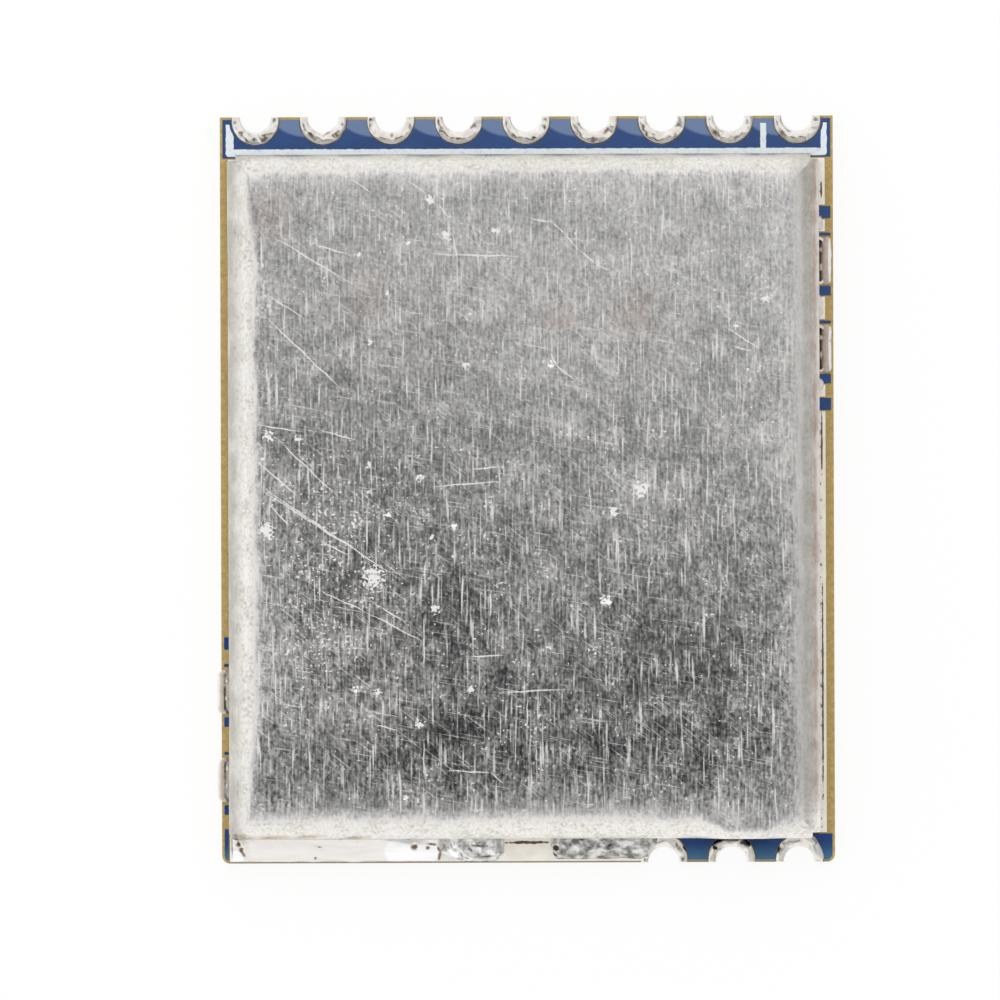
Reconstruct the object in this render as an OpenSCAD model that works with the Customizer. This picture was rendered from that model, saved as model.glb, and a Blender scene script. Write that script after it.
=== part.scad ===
// Video receiver module: a circuit board with half-hole terminals under a folded shield can.
// Millimetres. The origin is the middle of the underside, +Y points at the long row of
// terminals and +Z points out of the can.

/* [Board] */
// Width of the board, along X
board_w = 23; // [21:0.1:30]
// Length of the board, along Y
board_l = 28; // [25:0.1:36]
// Thickness of the bare laminate
laminate_t = 0.94; // [0.5:0.02:1.6]
// Radius of the two corners on the antenna edge
corner_r = 0.3; // [0.1:0.05:0.6]

/* [Layers] */
// Thickness of the solder mask
mask_t = 0.03; // [0.02:0.005:0.045]
// Height of the tinned lands above the laminate
land_t = 0.05; // [0.05:0.005:0.1]
// Laminate left bare between the mask and the board's edge
mask_margin = 0.1; // [0.05:0.01:0.2]
// Laminate left bare between a land and the mask round it
mask_gap = 0.05; // [0.03:0.01:0.08]
// Thickness of the white print
silk_t = 0.02; // [0.01:0.005:0.03]
// Width of the printed lines
silk_w = 0.22; // [0.15:0.01:0.3]
// Gap between the can and the printed line beside it
silk_gap = 0.02; // [0.01:0.01:0.1]
// Length of the printed ticks
silk_tick = 0.95; // [0.4:0.05:1]
// Distance from the board's side to the outer ticks
silk_margin = 0.32; // [0.25:0.01:0.6]

/* [Terminals] */
// Spacing of the half holes
pitch = 2.54; // [2.2:0.01:3]
// Radius of the plated half holes
hole_r = 0.58; // [0.4:0.02:0.66]
// Thickness of the plating in holes and slots
plating_t = 0.04; // [0.02:0.01:0.06]
// Radius of the tinned land round a half hole
land_r = 0.86; // [0.8:0.01:0.95]
// Distance of that land's middle from the board's edge
land_inset = 0.16; // [0.1:0.02:0.26]
// Least distance from the board's side to the first half hole
row_margin = 1.1; // [1.05:0.05:2]
// Number of half holes on the antenna edge
antenna_row = 3; // [2:1:4]

/* [Shield can] */
// Gap between the left wall and the board's side
can_left = 0.3; // [0.28:0.01:1]
// Gap between the right wall and the board's side
can_right = 0.57; // [0.5:0.01:1]
// Gap between the can and the edge with the long row
can_back = 1.46; // [1.4:0.02:2.5]
// Gap between the can and the antenna edge
can_front = 0.94; // [0.8:0.02:1.4]
// Height of the can above the lands
can_h = 1.98; // [1.7:0.02:3.5]
// Thickness of the tinplate
sheet_t = 0.2; // [0.12:0.01:0.26]
// Outer radius of the bends
bend_r = 1.1; // [0.6:0.05:1.4]
// Relief cut at the corners, along the walls that carry tabs
relief_y = 0.24; // [0.22:0.01:0.5]
// Relief cut at the corners, along the other two walls
relief_x = 0.34; // [0.3:0.01:0.5]
// Width of the antenna cut-out
notch_w = 2.7; // [1.6:0.1:3.4]
// Outer radius of the lifted lip over the cut-out
lip_r = 0.45; // [0.35:0.05:0.55]
// Drop of that lip below the top of the can
lip_drop = 0.6; // [0.56:0.02:0.9]

/* [Tabs and slots] */
// Distance from the long-row edge to the first slot on the right
slot_back = 5.45; // [4.6:0.05:7]
// Distance from the antenna edge to the first slot on the left
slot_front = 3.14; // [2.8:0.02:6]
// Distance between the two slots of a side
slot_pitch = 3.3; // [3:0.05:4.5]
// Width of a plated slot
slot_w = 0.58; // [0.5:0.01:0.64]
// Length of a plated slot
slot_l = 1.6; // [1.3:0.05:1.8]
// Width of the tinned ring round a slot
ring_w = 0.1; // [0.06:0.01:0.11]
// Distance of a slot's middle from the middle of its wall
slot_shift = 0.08; // [0.02:0.01:0.09]
// Least distance of a slot's middle from the board's edge
slot_edge = 0.45; // [0.44:0.01:0.5]
// Clearance of a tab at each end of its slot
tab_clear = 0.2; // [0.15:0.01:0.3]
// Height of a tab's end above the underside
tab_end = 0.12; // [0.05:0.01:0.3]

/* [Side strips] */
// Distance from the long-row edge to the bare strips
strip_back = 1.54; // [1.5:0.02:2.4]
// Distance from the antenna edge to the bare strips
strip_front = 1.06; // [0.9:0.02:1.2]
// Laminate left bare between the shield lands and the board's edge
land_margin = 0.31; // [0.28:0.01:0.4]
// Reach of the shield lands inside the walls
land_reach = 0.12; // [0.06:0.01:0.2]
// Distance of the land by the print inside the wall's outer face
land_hide = 0.04; // [0.02:0.01:0.1]
// Width of the bare strip on the antenna edge
edge_bare = 0.06; // [0.05:0.01:0.2]
// Width of the mask bar below a slot
bar_w = 0.35; // [0.2:0.01:0.45]
// Width of the mask bar above a slot
thin_bar = 0.1; // [0.06:0.01:0.15]
// Width of the mask bar beyond a pair of slots
end_bar = 0.45; // [0.3:0.01:0.6]
// Length of the land between a slot's bar and the end bar
short_land = 0.55; // [0.4:0.01:0.7]

/* [Solder] */
// Height of the smooth solder on the antenna wall
seam_h = 0.7; // [0.3:0.02:0.8]
// Height of the rough solder on the antenna wall
rough_h = 0.36; // [0.2:0.02:0.5]
// Thickness of a seam at its toe
seam_toe = 0.05; // [0.03:0.01:0.1]
// Distance of a seam's hollow arc from its slope
seam_bow = 1.2; // [0.8:0.1:3]
// Length of the smooth seam from the left corner
seam_l = 7.8; // [4:0.1:9]
// Length of the land left open between the rough seams
seam_open = 1.8; // [1:0.1:2.5]
// Length of the rough seam beside the smooth one
rough_l = 2.3; // [1:0.1:3]
// Size of the thin fillets on the right wall
fillet = 0.14; // [0.08:0.01:0.18]
// Radius of the solder beads on the left tabs
bead_r = 0.5; // [0.45:0.01:0.56]
// Reach of those beads past the board's edge
bead_out = 0.18; // [0.05:0.01:0.3]
// Depth of the solder in the right slots
solder_dip = 0.16; // [0.05:0.01:0.4]

/* [Circuit] */
// Offset of the receiver chip from the middle of the can, along X
chip_shift_x = 2; // [1:0.1:2.5]
// Offset of the receiver chip from the middle of the can, along Y
chip_shift_y = -3; // [-3.5:0.1:-2]
// Width of the receiver chip
chip_w = 6; // [4:0.1:7]
// Height of the receiver chip's body
chip_h = 0.85; // [0.5:0.05:1.1]
// Width of the intermediate filter
filter_w = 3.8; // [3:0.1:4.6]
// Height of the intermediate filter
filter_h = 1.1; // [0.8:0.05:1.2]
// Length of the crystal
crystal_l = 3.2; // [2.4:0.1:3.8]
// Width of the crystal
crystal_w = 2.5; // [1.8:0.1:3]
// Height of the crystal
crystal_h = 0.75; // [0.6:0.05:1]
// Width of the video amplifier's body
amplifier_w = 3; // [2.4:0.1:3.4]
// Length of the voltage regulator's body
regulator_l = 2.9; // [2.4:0.1:3.2]
// Width of the voltage regulator's body
regulator_w = 1.6; // [1.3:0.1:1.9]
// Length of the low-noise amplifier's body
transistor_l = 2; // [1.6:0.1:2.4]
// Width of the low-noise amplifier's body
transistor_w = 1.25; // [1:0.05:1.5]
// Height of the moulded bodies
moulded_h = 1; // [0.8:0.05:1.2]
// Length of the tantalum capacitor
tantalum_l = 3.2; // [2.6:0.1:3.6]
// Width of the tantalum capacitor
tantalum_w = 1.6; // [1.2:0.1:2]
// Length of the ceramic band-pass filter
band_pass_l = 2; // [1.6:0.1:2.4]
// Width of the ceramic band-pass filter
band_pass_w = 1.25; // [0.8:0.05:1.6]
// Height of the ceramic band-pass filter
band_pass_h = 0.95; // [0.6:0.05:1.2]
// Distance between the antenna wall and the band-pass filter
antenna_room = 1.6; // [1:0.1:2]
// Distance between the band-pass filter and the amplifier's leads
stage_room = 1; // [0.6:0.1:1.4]
// Length of the supply choke
choke_l = 2.5; // [2:0.1:3]
// Width of the supply choke
choke_w = 2; // [1.6:0.1:2.4]
// Height of the supply choke
choke_h = 1.15; // [0.8:0.05:1.2]
// Extra length and width of a small coil over a small chip
coil_grow = 0.2; // [0.1:0.05:0.3]
// Width of a bent lead
lead_w = 0.3; // [0.2:0.02:0.4]
// Thickness of a bent lead
lead_t = 0.13; // [0.1:0.01:0.2]
// Length of a bent lead's foot
lead_foot = 0.35; // [0.25:0.05:0.45]
// Reach of a bent lead past its body
lead_reach = 0.55; // [0.5:0.05:0.7]
// Gap under a moulded body
lead_stand = 0.08; // [0.05:0.01:0.15]
// Length of the metal caps on a two-ended chip
cap_band = 0.25; // [0.15:0.01:0.3]
// Step between a metal cap and the body that it covers
cap_step = 0.02; // [0.01:0.01:0.05]
// Border of a ceramic base round its lid
lid_border = 0.2; // [0.1:0.05:0.3]
// Height of the metal lids
lid_h = 0.18; // [0.1:0.02:0.3]
// Length of a small chip
small_l = 1; // [0.8:0.05:1.2]
// Width of a small chip
small_w = 0.5; // [0.4:0.05:0.6]
// Distance between a main piece and the small chips round it
chip_gap = 0.5; // [0.35:0.05:0.6]
// Spacing of small chips in a row
small_pitch = 1.1; // [0.9:0.05:1.3]

/* [Hidden] */
$fn = 48;
eps = 0.01;

half_w = board_w / 2;
half_l = board_l / 2;

// heights of the layers
top_z = mask_t + laminate_t;
mask_top = top_z + mask_t;
land_top = top_z + land_t;
can_top = land_top + can_h;

// outer faces of the can's walls
can_x0 = can_left - half_w;
can_x1 = half_w - can_right;
can_y0 = can_front - half_l;
can_y1 = half_l - can_back;
can_w = can_x1 - can_x0;
can_l = can_y1 - can_y0;
can_x = (can_x0 + can_x1) / 2;
can_y = (can_y0 + can_y1) / 2;

// terminals
long_row = floor((board_w - 2 * row_margin) / pitch) + 1;
terminal_count = long_row + antenna_row;
antenna_index = long_row + floor((antenna_row + 1) / 2);
function terminal_x(i) = ((i > long_row ? i - antenna_row : i) - (long_row + 1) / 2) * pitch;
function terminal_side(i) = i > long_row ? -1 : 1;
antenna_x = terminal_x(antenna_index);
ground_x = terminal_x(long_row + 1);

// tabs and slots: sides of the walls, middles of the slots
ring_l = slot_l + 2 * ring_w;
ring_side = slot_w + 2 * ring_w;
tab_w = slot_l - 2 * tab_clear;
function slot_side(i) = i < 3 ? 1 : -1;
function wall_x(side) = side > 0 ? can_x1 : can_x0;
function slot_x(side) = side * min(abs(wall_x(side)) + slot_shift - sheet_t / 2, half_w - slot_edge);
function upper_slot_y(side) = side > 0 ? half_l - slot_back : slot_front + slot_pitch - half_l;
function slot_y(i) = upper_slot_y(slot_side(i)) - ((i + 1) % 2) * slot_pitch;

// bars of mask across the bare side strips, as [low, high]
slot_zone = ring_l / 2 + mask_gap;
function pair_bars(high, low) = [
    [high + slot_zone + thin_bar + short_land, high + slot_zone + thin_bar + short_land + end_bar],
    [high + slot_zone, high + slot_zone + thin_bar],
    [high - slot_zone - bar_w, high - slot_zone],
    [low + slot_zone, low + slot_zone + thin_bar],
    [low - slot_zone - bar_w, low - slot_zone],
    [low - slot_zone - bar_w - short_land - end_bar, low - slot_zone - bar_w - short_land]
];
function side_bars(side) = pair_bars(upper_slot_y(side), upper_slot_y(side) - slot_pitch);

// land and seams on the antenna edge
edge_land_y0 = edge_bare - half_l;
edge_land_y1 = can_y0 + sheet_t + land_reach;
seam_reach = can_y0 - edge_land_y0;
seam_x0 = can_x0 + relief_x;
rough_x0 = seam_x0 + seam_l;
rough_x1 = rough_x0 + rough_l;
right_seam_x0 = rough_x1 + seam_open;
right_seam_x1 = ground_x - land_r;

// circuit: middles of the main pieces
chip_x = can_x + chip_shift_x;
chip_y = can_y + chip_shift_y;
filter_x = chip_x - chip_w / 2 - small_l - 2 * chip_gap - filter_w / 2;
crystal_y = chip_y + chip_w / 2 + small_l + 2 * chip_gap + crystal_w / 2;
amplifier_y = chip_y + chip_w / 2 + small_l + 2 * chip_gap + amplifier_w / 2;
supply_y = amplifier_y + amplifier_w / 2 + small_l + 2 * chip_gap + lead_reach + regulator_w / 2;
bypass_x = filter_x + regulator_l / 2 + chip_gap + small_w / 2;
tantalum_x = bypass_x + small_w / 2 + chip_gap + tantalum_l / 2;
choke_x = tantalum_x + tantalum_l / 2 + chip_gap + choke_l / 2;
band_pass_y = can_y0 + antenna_room + band_pass_l / 2;
transistor_y = band_pass_y + band_pass_l / 2 + stage_room + lead_reach + transistor_w / 2;

// flat outlines

module bar(low, high) {
    translate(low) square(high - low);
}

module oval(w, l) {
    translate([-w / 2, (w - l) / 2]) square([w, l - w]);
    for (s = [-1, 1])
        translate([0, s * (l - w) / 2]) circle(d = w);
}

module board_outline(inset) {
    r = max(corner_r - inset, eps);
    difference() {
        bar([inset - half_w, inset - half_l], [half_w - inset, half_l - inset]);
        for (s = [-1, 1])
            translate([s * (half_w - inset - r / 2), inset - half_l + r / 2]) square(r + eps, center = true);
    }
    for (s = [-1, 1])
        translate([s * (half_w - inset - r), inset - half_l + r]) circle(r = r);
}

module at_terminal(i, inset) {
    translate([terminal_x(i), terminal_side(i) * (half_l - inset)]) children();
}

module at_slot(i) {
    translate([slot_x(slot_side(i)), slot_y(i)]) children();
}

module at_slots() {
    for (i = [1 : 4])
        at_slot(i) children();
}

// bare strip beside one wall, crossed by its bars of mask
module side_window(side) {
    inner = wall_x(side) - side * (sheet_t + land_reach + mask_gap);
    outer = side * (half_w + eps);
    difference() {
        bar([min(inner, outer), strip_front - half_l], [max(inner, outer), half_l - strip_back]);
        for (b = side_bars(side))
            bar([-board_w, b[0]], [board_w, b[1]]);
    }
}

// tinned strip in that window
module side_land_outline(side) {
    inner = wall_x(side) - side * (sheet_t + land_reach);
    outer = side * (half_w - land_margin);
    difference() {
        bar([min(inner, outer), strip_front - half_l + mask_gap],
            [max(inner, outer), half_l - strip_back - mask_gap]);
        for (b = side_bars(side))
            bar([-board_w, b[0] - mask_gap], [board_w, b[1] + mask_gap]);
        at_slots() square([2 * ring_side + 2 * sheet_t, 2 * slot_zone], center = true);
        bar([-board_w, -board_l], [ground_x, edge_land_y1 + mask_gap]);
        at_terminal(terminal_count, land_inset) circle(r = land_r + mask_gap);
    }
}

module top_land_outline(grow) {
    bar([can_x0 + bend_r - grow, can_y1 - sheet_t - land_reach - grow],
        [can_x1 - bend_r + grow, can_y1 - land_hide + grow]);
}

module edge_land_outline(grow) {
    bar([can_x0 - grow, edge_land_y0 - grow], [ground_x + grow, edge_land_y1 + grow]);
}

module all_slots(grow) {
    at_slots() oval(slot_w + 2 * grow, slot_l + 2 * grow);
}

// board and its layers

module circuit_board() {
    color("#a39369")
    translate([0, 0, mask_t])
    linear_extrude(laminate_t)
    difference() {
        board_outline(0);
        for (i = [1 : terminal_count])
            at_terminal(i, 0) circle(r = hole_r + plating_t);
        all_slots(plating_t);
    }
}

module solder_mask_top() {
    color("#2c4b7d")
    translate([0, 0, top_z])
    linear_extrude(mask_t)
    difference() {
        board_outline(mask_margin);
        for (i = [1 : terminal_count])
            at_terminal(i, land_inset) circle(r = land_r + mask_gap);
        for (side = [-1, 1])
            side_window(side);
        all_slots(ring_w + mask_gap);
        top_land_outline(mask_gap);
        edge_land_outline(mask_gap);
    }
}

module solder_mask_bottom() {
    color("#2c4b7d")
    linear_extrude(mask_t)
    difference() {
        board_outline(mask_margin);
        for (i = [1 : terminal_count])
            at_terminal(i, land_inset) circle(r = land_r + mask_gap);
        all_slots(ring_w + mask_gap);
    }
}

module silkscreen() {
    line_y = can_y1 + silk_gap;
    tick_x = half_w - silk_margin;
    gap_x = (terminal_x(long_row - 1) + terminal_x(long_row)) / 2;
    color("#e2e9ec")
    translate([0, 0, mask_top])
    linear_extrude(silk_t)
    difference() {
        union() {
            bar([-tick_x - silk_w / 2, line_y], [tick_x + silk_w / 2, line_y + silk_w]);
            for (x = [-tick_x, gap_x, tick_x])
                bar([x - silk_w / 2, line_y], [x + silk_w / 2, line_y + silk_w + silk_tick]);
        }
        for (i = [1 : long_row])
            at_terminal(i, land_inset) circle(r = land_r + 2 * mask_gap);
    }
}

// plated half hole with its land on both faces, cut off flush with the board's edge
module terminal(i) {
    side = terminal_side(i);
    color("#c9c8c2")
    difference() {
        union() {
            at_terminal(i, 0) cylinder(r = hole_r + plating_t, h = land_top);
            at_terminal(i, land_inset) cylinder(r = land_r, h = mask_t);
            at_terminal(i, land_inset) translate([0, 0, top_z]) cylinder(r = land_r, h = land_t);
        }
        at_terminal(i, 0) translate([0, 0, -eps]) cylinder(r = hole_r, h = land_top + 2 * eps);
        translate([terminal_x(i), side * (half_l + land_r), land_top / 2])
            cube([3 * land_r, 2 * land_r, 2 * land_top], center = true);
    }
}

module side_land(side) {
    color("#b9b8b3")
    translate([0, 0, top_z])
    linear_extrude(land_t)
    side_land_outline(side);
}

module shield_land_top() {
    color("#b9b8b3")
    translate([0, 0, top_z])
    linear_extrude(land_t)
    top_land_outline(0);
}

module shield_land_bottom() {
    color("#d8d4ca")
    translate([0, 0, top_z])
    linear_extrude(land_t)
    difference() {
        edge_land_outline(0);
        at_terminal(long_row + 1, land_inset) circle(r = land_r);
    }
}

module slot_plating(i) {
    color("#c9c8c2")
    at_slot(i)
    difference() {
        union() {
            linear_extrude(land_top) oval(slot_w + 2 * plating_t, slot_l + 2 * plating_t);
            linear_extrude(mask_t) oval(ring_side, ring_l);
            translate([0, 0, top_z]) linear_extrude(land_t) oval(ring_side, ring_l);
        }
        translate([0, 0, -eps]) linear_extrude(land_top + 2 * eps) oval(slot_w, slot_l);
    }
}

// folded can

// section of a sheet folded down on both sides
module folded_section(w, h, r) {
    square([w, h - r]);
    translate([r, 0]) square([w - 2 * r, h]);
    for (x = [r, w - r])
        translate([x, h - r]) circle(r = r);
}

// block whose bends meet on mitres
module folded_block(w, l, h, r) {
    intersection() {
        translate([0, l, 0]) rotate([90, 0, 0]) linear_extrude(l) folded_section(w, h, r);
        rotate([90, 0, 90]) linear_extrude(w) folded_section(l, h, r);
    }
}

// section of the lifted lip, from the flat of the can to its free edge
module lip_section() {
    translate([lip_r, can_h - sheet_t]) square([bend_r - lip_r + eps, sheet_t]);
    difference() {
        translate([lip_r, can_h - lip_r]) circle(r = lip_r);
        translate([lip_r, can_h - lip_r]) circle(r = lip_r - sheet_t);
        translate([lip_r, 0]) square([bend_r, can_h + eps]);
        square([bend_r, can_h - lip_r]);
    }
    translate([0, can_h - lip_drop]) square([sheet_t, lip_drop - lip_r]);
}

module tab(i) {
    side = slot_side(i);
    translate([wall_x(side) - side * sheet_t / 2 - sheet_t / 2, slot_y(i) - tab_w / 2, tab_end])
        cube([sheet_t, tab_w, land_top - tab_end + sheet_t]);
}

module shield_can() {
    notch_x = antenna_x - notch_w / 2;
    color("#a9a7a3") {
        translate([can_x0, can_y0, land_top])
        difference() {
            folded_block(can_w, can_l, can_h, bend_r);
            translate([sheet_t, sheet_t, -can_h])
                folded_block(can_w - 2 * sheet_t, can_l - 2 * sheet_t, 2 * can_h - sheet_t, bend_r - sheet_t);
            for (x = [0, can_w])
                for (y = [0, can_l])
                    translate([x, y, can_h / 2])
                        cube([2 * relief_x, 2 * relief_y, 2 * can_h], center = true);
            translate([notch_x - can_x0, -eps, -eps]) cube([notch_w, bend_r + eps, 2 * can_h]);
        }
        translate([notch_x, can_y0, land_top])
            rotate([90, 0, 90]) linear_extrude(notch_w) lip_section();
        for (i = [1 : 4])
            tab(i);
    }
}

// solder

// concave seam from a wall down to the toe, run along +X
module seam(x0, x1, h) {
    slope = norm([seam_reach, h]);
    arc_r = norm([slope / 2, seam_bow]);
    color("#dedcd6")
    translate([x0, can_y0, land_top])
    rotate([90, 0, 90])
    linear_extrude(x1 - x0)
    mirror([1, 0]) {
        square([seam_reach, seam_toe]);
        difference() {
            square([seam_reach, h]);
            translate([seam_reach / 2 + seam_bow * h / slope, h / 2 + seam_bow * seam_reach / slope])
                circle(r = arc_r, $fn = 96);
        }
    }
}

module solder_corner() {
    i = terminal_count;
    difference() {
        intersection() {
            seam(terminal_x(i) - land_r, terminal_x(i) + land_r, rough_h);
            at_terminal(i, land_inset) cylinder(r = land_r - mask_gap, h = can_top);
        }
        at_terminal(i, 0) cylinder(r = hole_r, h = can_top);
    }
}

module solder_fillets() {
    color("#cfcbc4")
    translate([can_x1, 0, land_top])
    intersection() {
        rotate([90, 0, 0])
        linear_extrude(2 * board_l, center = true)
        difference() {
            square(fillet);
            translate([fillet, fillet]) circle(r = fillet);
        }
        translate([-can_x1, 0, 0]) linear_extrude(fillet) side_land_outline(1);
    }
}

module slot_fill(i, high) {
    difference() {
        at_slot(i) translate([0, 0, tab_end]) linear_extrude(high - tab_end) oval(slot_w, slot_l);
        tab(i);
    }
}

module bead(i) {
    straight = ring_l - 2 * bead_r;
    translate([bead_r - bead_out - half_w, slot_y(i), land_top]) {
        rotate([90, 0, 0]) cylinder(r = bead_r, h = straight, center = true);
        for (s = [-1, 1])
            translate([0, s * straight / 2, 0]) sphere(r = bead_r);
    }
}

// the left joints bead up over the board's edge, the right ones stay down in their slots
module solder_tab(i) {
    color("#d9d5cb") {
        slot_fill(i, top_z - solder_dip);
        if (slot_side(i) < 0)
            difference() {
                bead(i);
                translate([can_x0, slot_y(i) - board_l / 2, -can_top]) cube([board_w, board_l, 3 * can_top]);
                difference() {
                    translate([-half_w, slot_y(i) - board_l / 2, -can_top])
                        cube([board_w, board_l, can_top + land_top]);
                    at_slot(i) translate([0, 0, tab_end]) linear_extrude(can_top) oval(slot_w, slot_l);
                }
            }
    }
}

// circuit

// two-ended chip with metal caps, standing on the mask
module end_cap_chip(l, w, h) {
    translate([-l / 2, cap_step - w / 2, cap_step]) cube([l, w - 2 * cap_step, h - 2 * cap_step]);
    for (s = [0, 1])
        mirror([s, 0, 0])
            translate([l / 2 - cap_band, -w / 2, 0]) cube([cap_band, w, h]);
}

// bent lead from a body's side at y = 0 down to its foot
module bent_lead(h) {
    knee = lead_reach - lead_foot;
    translate([-lead_w / 2, knee, 0]) cube([lead_w, lead_foot, lead_t]);
    translate([-lead_w / 2, knee, 0]) cube([lead_w, lead_t, h / 2]);
    translate([-lead_w / 2, -eps, h / 2 - lead_t]) cube([lead_w, knee + lead_t + eps, lead_t]);
}

// moulded body with rows of leads on its two long sides
module leaded_package(l, w, h, rows) {
    translate([-l / 2, -w / 2, lead_stand]) cube([l, w, h - lead_stand]);
    for (s = [0, 1])
        mirror([0, s, 0])
            for (x = rows[s])
                translate([x, w / 2, 0]) bent_lead(h);
}

// ceramic base under a sealed metal lid
module lidded_package(l, w, h) {
    translate([-l / 2, -w / 2, 0]) cube([l, w, h - lid_h]);
    translate([lid_border - l / 2, lid_border - w / 2, 0]) cube([l - 2 * lid_border, w - 2 * lid_border, h]);
}

module receiver_chip() {
    pads = 10;
    pad_l = 0.4;
    pad_w = 0.25;
    pad_t = 0.05;
    pad_margin = 0.75;
    pad_pitch = (chip_w - 2 * pad_margin) / (pads - 1);
    thermal = chip_w - 2 * pad_l - 2 * chip_gap;
    mark_r = 0.3;
    color("#26272a")
    translate([chip_x, chip_y, mask_top]) {
        difference() {
            translate([-chip_w / 2, -chip_w / 2, pad_t]) cube([chip_w, chip_w, chip_h]);
            translate([3 * mark_r - chip_w / 2, chip_w / 2 - 3 * mark_r, chip_h])
                cylinder(r = mark_r, h = pad_t + eps);
        }
        translate([-thermal / 2, -thermal / 2, 0]) cube([thermal, thermal, 2 * pad_t]);
        for (a = [0 : 90 : 270])
            rotate(a)
                for (k = [1 : pads])
                    translate([(k - (pads + 1) / 2) * pad_pitch - pad_w / 2, chip_w / 2 - pad_l, 0])
                        cube([pad_w, pad_l, 2 * pad_t]);
    }
}

module if_filter() {
    color("#b8b4a8")
    translate([filter_x, chip_y, mask_top])
        lidded_package(filter_w, filter_w, filter_h);
}

module crystal() {
    color("#bcbab4")
    translate([chip_x, crystal_y, mask_top])
        lidded_package(crystal_l, crystal_w, crystal_h);
}

module band_pass_filter() {
    color("#8f98a6")
    translate([antenna_x, band_pass_y, mask_top])
        rotate(90) end_cap_chip(band_pass_l, band_pass_w, band_pass_h);
}

module low_noise_amplifier() {
    spread = transistor_l / 2 - lead_w;
    color("#232427")
    translate([antenna_x, transistor_y, mask_top])
        leaded_package(transistor_l, transistor_w, moulded_h, [[-spread, spread], [-spread, spread]]);
}

module video_amplifier() {
    step = (amplifier_w - 2 * lead_w) / 3;
    row = [-1.5 * step, -0.5 * step, 0.5 * step, 1.5 * step];
    color("#232427")
    translate([filter_x, amplifier_y, mask_top])
        rotate(90) leaded_package(amplifier_w, amplifier_w, moulded_h, [row, row]);
}

module voltage_regulator() {
    spread = regulator_l / 2 - 1.5 * lead_w;
    color("#232427")
    translate([filter_x, supply_y, mask_top])
        leaded_package(regulator_l, regulator_w, moulded_h, [[-spread, spread], [-spread, 0, spread]]);
}

module tantalum_capacitor() {
    tongue_w = tantalum_w - 2 * lead_w;
    color("#c58b2e")
    translate([tantalum_x, supply_y, mask_top]) {
        translate([lead_t - tantalum_l / 2, -tantalum_w / 2, lead_stand])
            cube([tantalum_l - 2 * lead_t, tantalum_w, moulded_h]);
        for (s = [0, 1])
            mirror([s, 0, 0]) {
                translate([tantalum_l / 2 - lead_t, -tongue_w / 2, 0]) cube([lead_t, tongue_w, moulded_h / 2]);
                translate([tantalum_l / 2 - 2 * lead_foot, -tongue_w / 2, 0])
                    cube([2 * lead_foot, tongue_w, lead_t]);
            }
    }
}

// core with a flange at each end and a winding between them
module wound_inductor(l, w, h) {
    for (s = [0, 1])
        mirror([s, 0, 0])
            translate([l / 2 - cap_band, -w / 2, 0]) cube([cap_band, w, h]);
    translate([-l / 2, lead_t - w / 2, lead_t]) cube([l, w - 2 * lead_t, h - 2 * lead_t]);
}

module chip_inductors() {
    coil_l = small_l + coil_grow;
    coil_w = small_w + coil_grow;
    side_x = transistor_l / 2 + chip_gap + coil_w / 2;
    color("#3a3936") {
        translate([choke_x, supply_y, mask_top]) wound_inductor(choke_l, choke_w, choke_h);
        for (s = [-1, 1])
            translate([antenna_x + s * side_x, transistor_y, mask_top])
                rotate(90) wound_inductor(coil_l, coil_w, coil_w);
    }
}

module small_chip() {
    translate([0, 0, mask_top]) end_cap_chip(small_l, small_w, small_w);
}

module chip_capacitors() {
    across = chip_w / 2 + chip_gap + small_l / 2;
    color("#a08767") {
        for (k = [-1.5 : 1.5]) {
            translate([chip_x + across, chip_y + k * small_pitch]) small_chip();
            translate([chip_x + k * small_pitch, chip_y - across]) rotate(90) small_chip();
        }
        for (s = [-1, 1]) {
            translate([chip_x + s * (crystal_l / 2 + chip_gap + small_w / 2), crystal_y])
                rotate(90) small_chip();
            translate([filter_x + s * small_pitch, chip_y - filter_w / 2 - chip_gap - small_l / 2])
                rotate(90) small_chip();
        }
        translate([bypass_x, supply_y]) rotate(90) small_chip();
    }
}

module chip_resistors() {
    color("#2a2b2e") {
        for (k = [-1 : 1]) {
            translate([chip_x - chip_w / 2 - chip_gap - small_l / 2, chip_y + k * small_pitch]) small_chip();
            translate([filter_x + k * small_pitch, amplifier_y + amplifier_w / 2 + chip_gap + small_l / 2])
                rotate(90) small_chip();
        }
        for (k = [-0.5, 0.5])
            translate([chip_x + k * small_pitch, chip_y + chip_w / 2 + chip_gap + small_l / 2])
                rotate(90) small_chip();
    }
}

circuit_board();
solder_mask_top();
solder_mask_bottom();
silkscreen();
for (i = [1 : terminal_count])
    terminal(i);
side_land(-1);  // shield_land_left
side_land(1);  // shield_land_right
shield_land_top();
shield_land_bottom();
for (i = [1 : 4])
    slot_plating(i);
shield_can();
for (i = [1 : 4])
    solder_tab(i);
seam(seam_x0, rough_x0, seam_h);  // solder_seam_left
seam(rough_x0, rough_x1, rough_h);  // solder_seam_middle
seam(right_seam_x0, right_seam_x1, rough_h);  // solder_seam_right
solder_corner();
solder_fillets();
receiver_chip();
if_filter();
band_pass_filter();
low_noise_amplifier();
crystal();
video_amplifier();
voltage_regulator();
tantalum_capacitor();
chip_inductors();
chip_capacitors();
chip_resistors();
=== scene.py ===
"""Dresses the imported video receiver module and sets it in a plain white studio."""

import logging
import math
from collections.abc import Callable, Iterable, Sequence
from dataclasses import dataclass, replace
from enum import Enum
from functools import cache

import bmesh
import bpy
from mathutils import Matrix, Vector, noise


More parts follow.
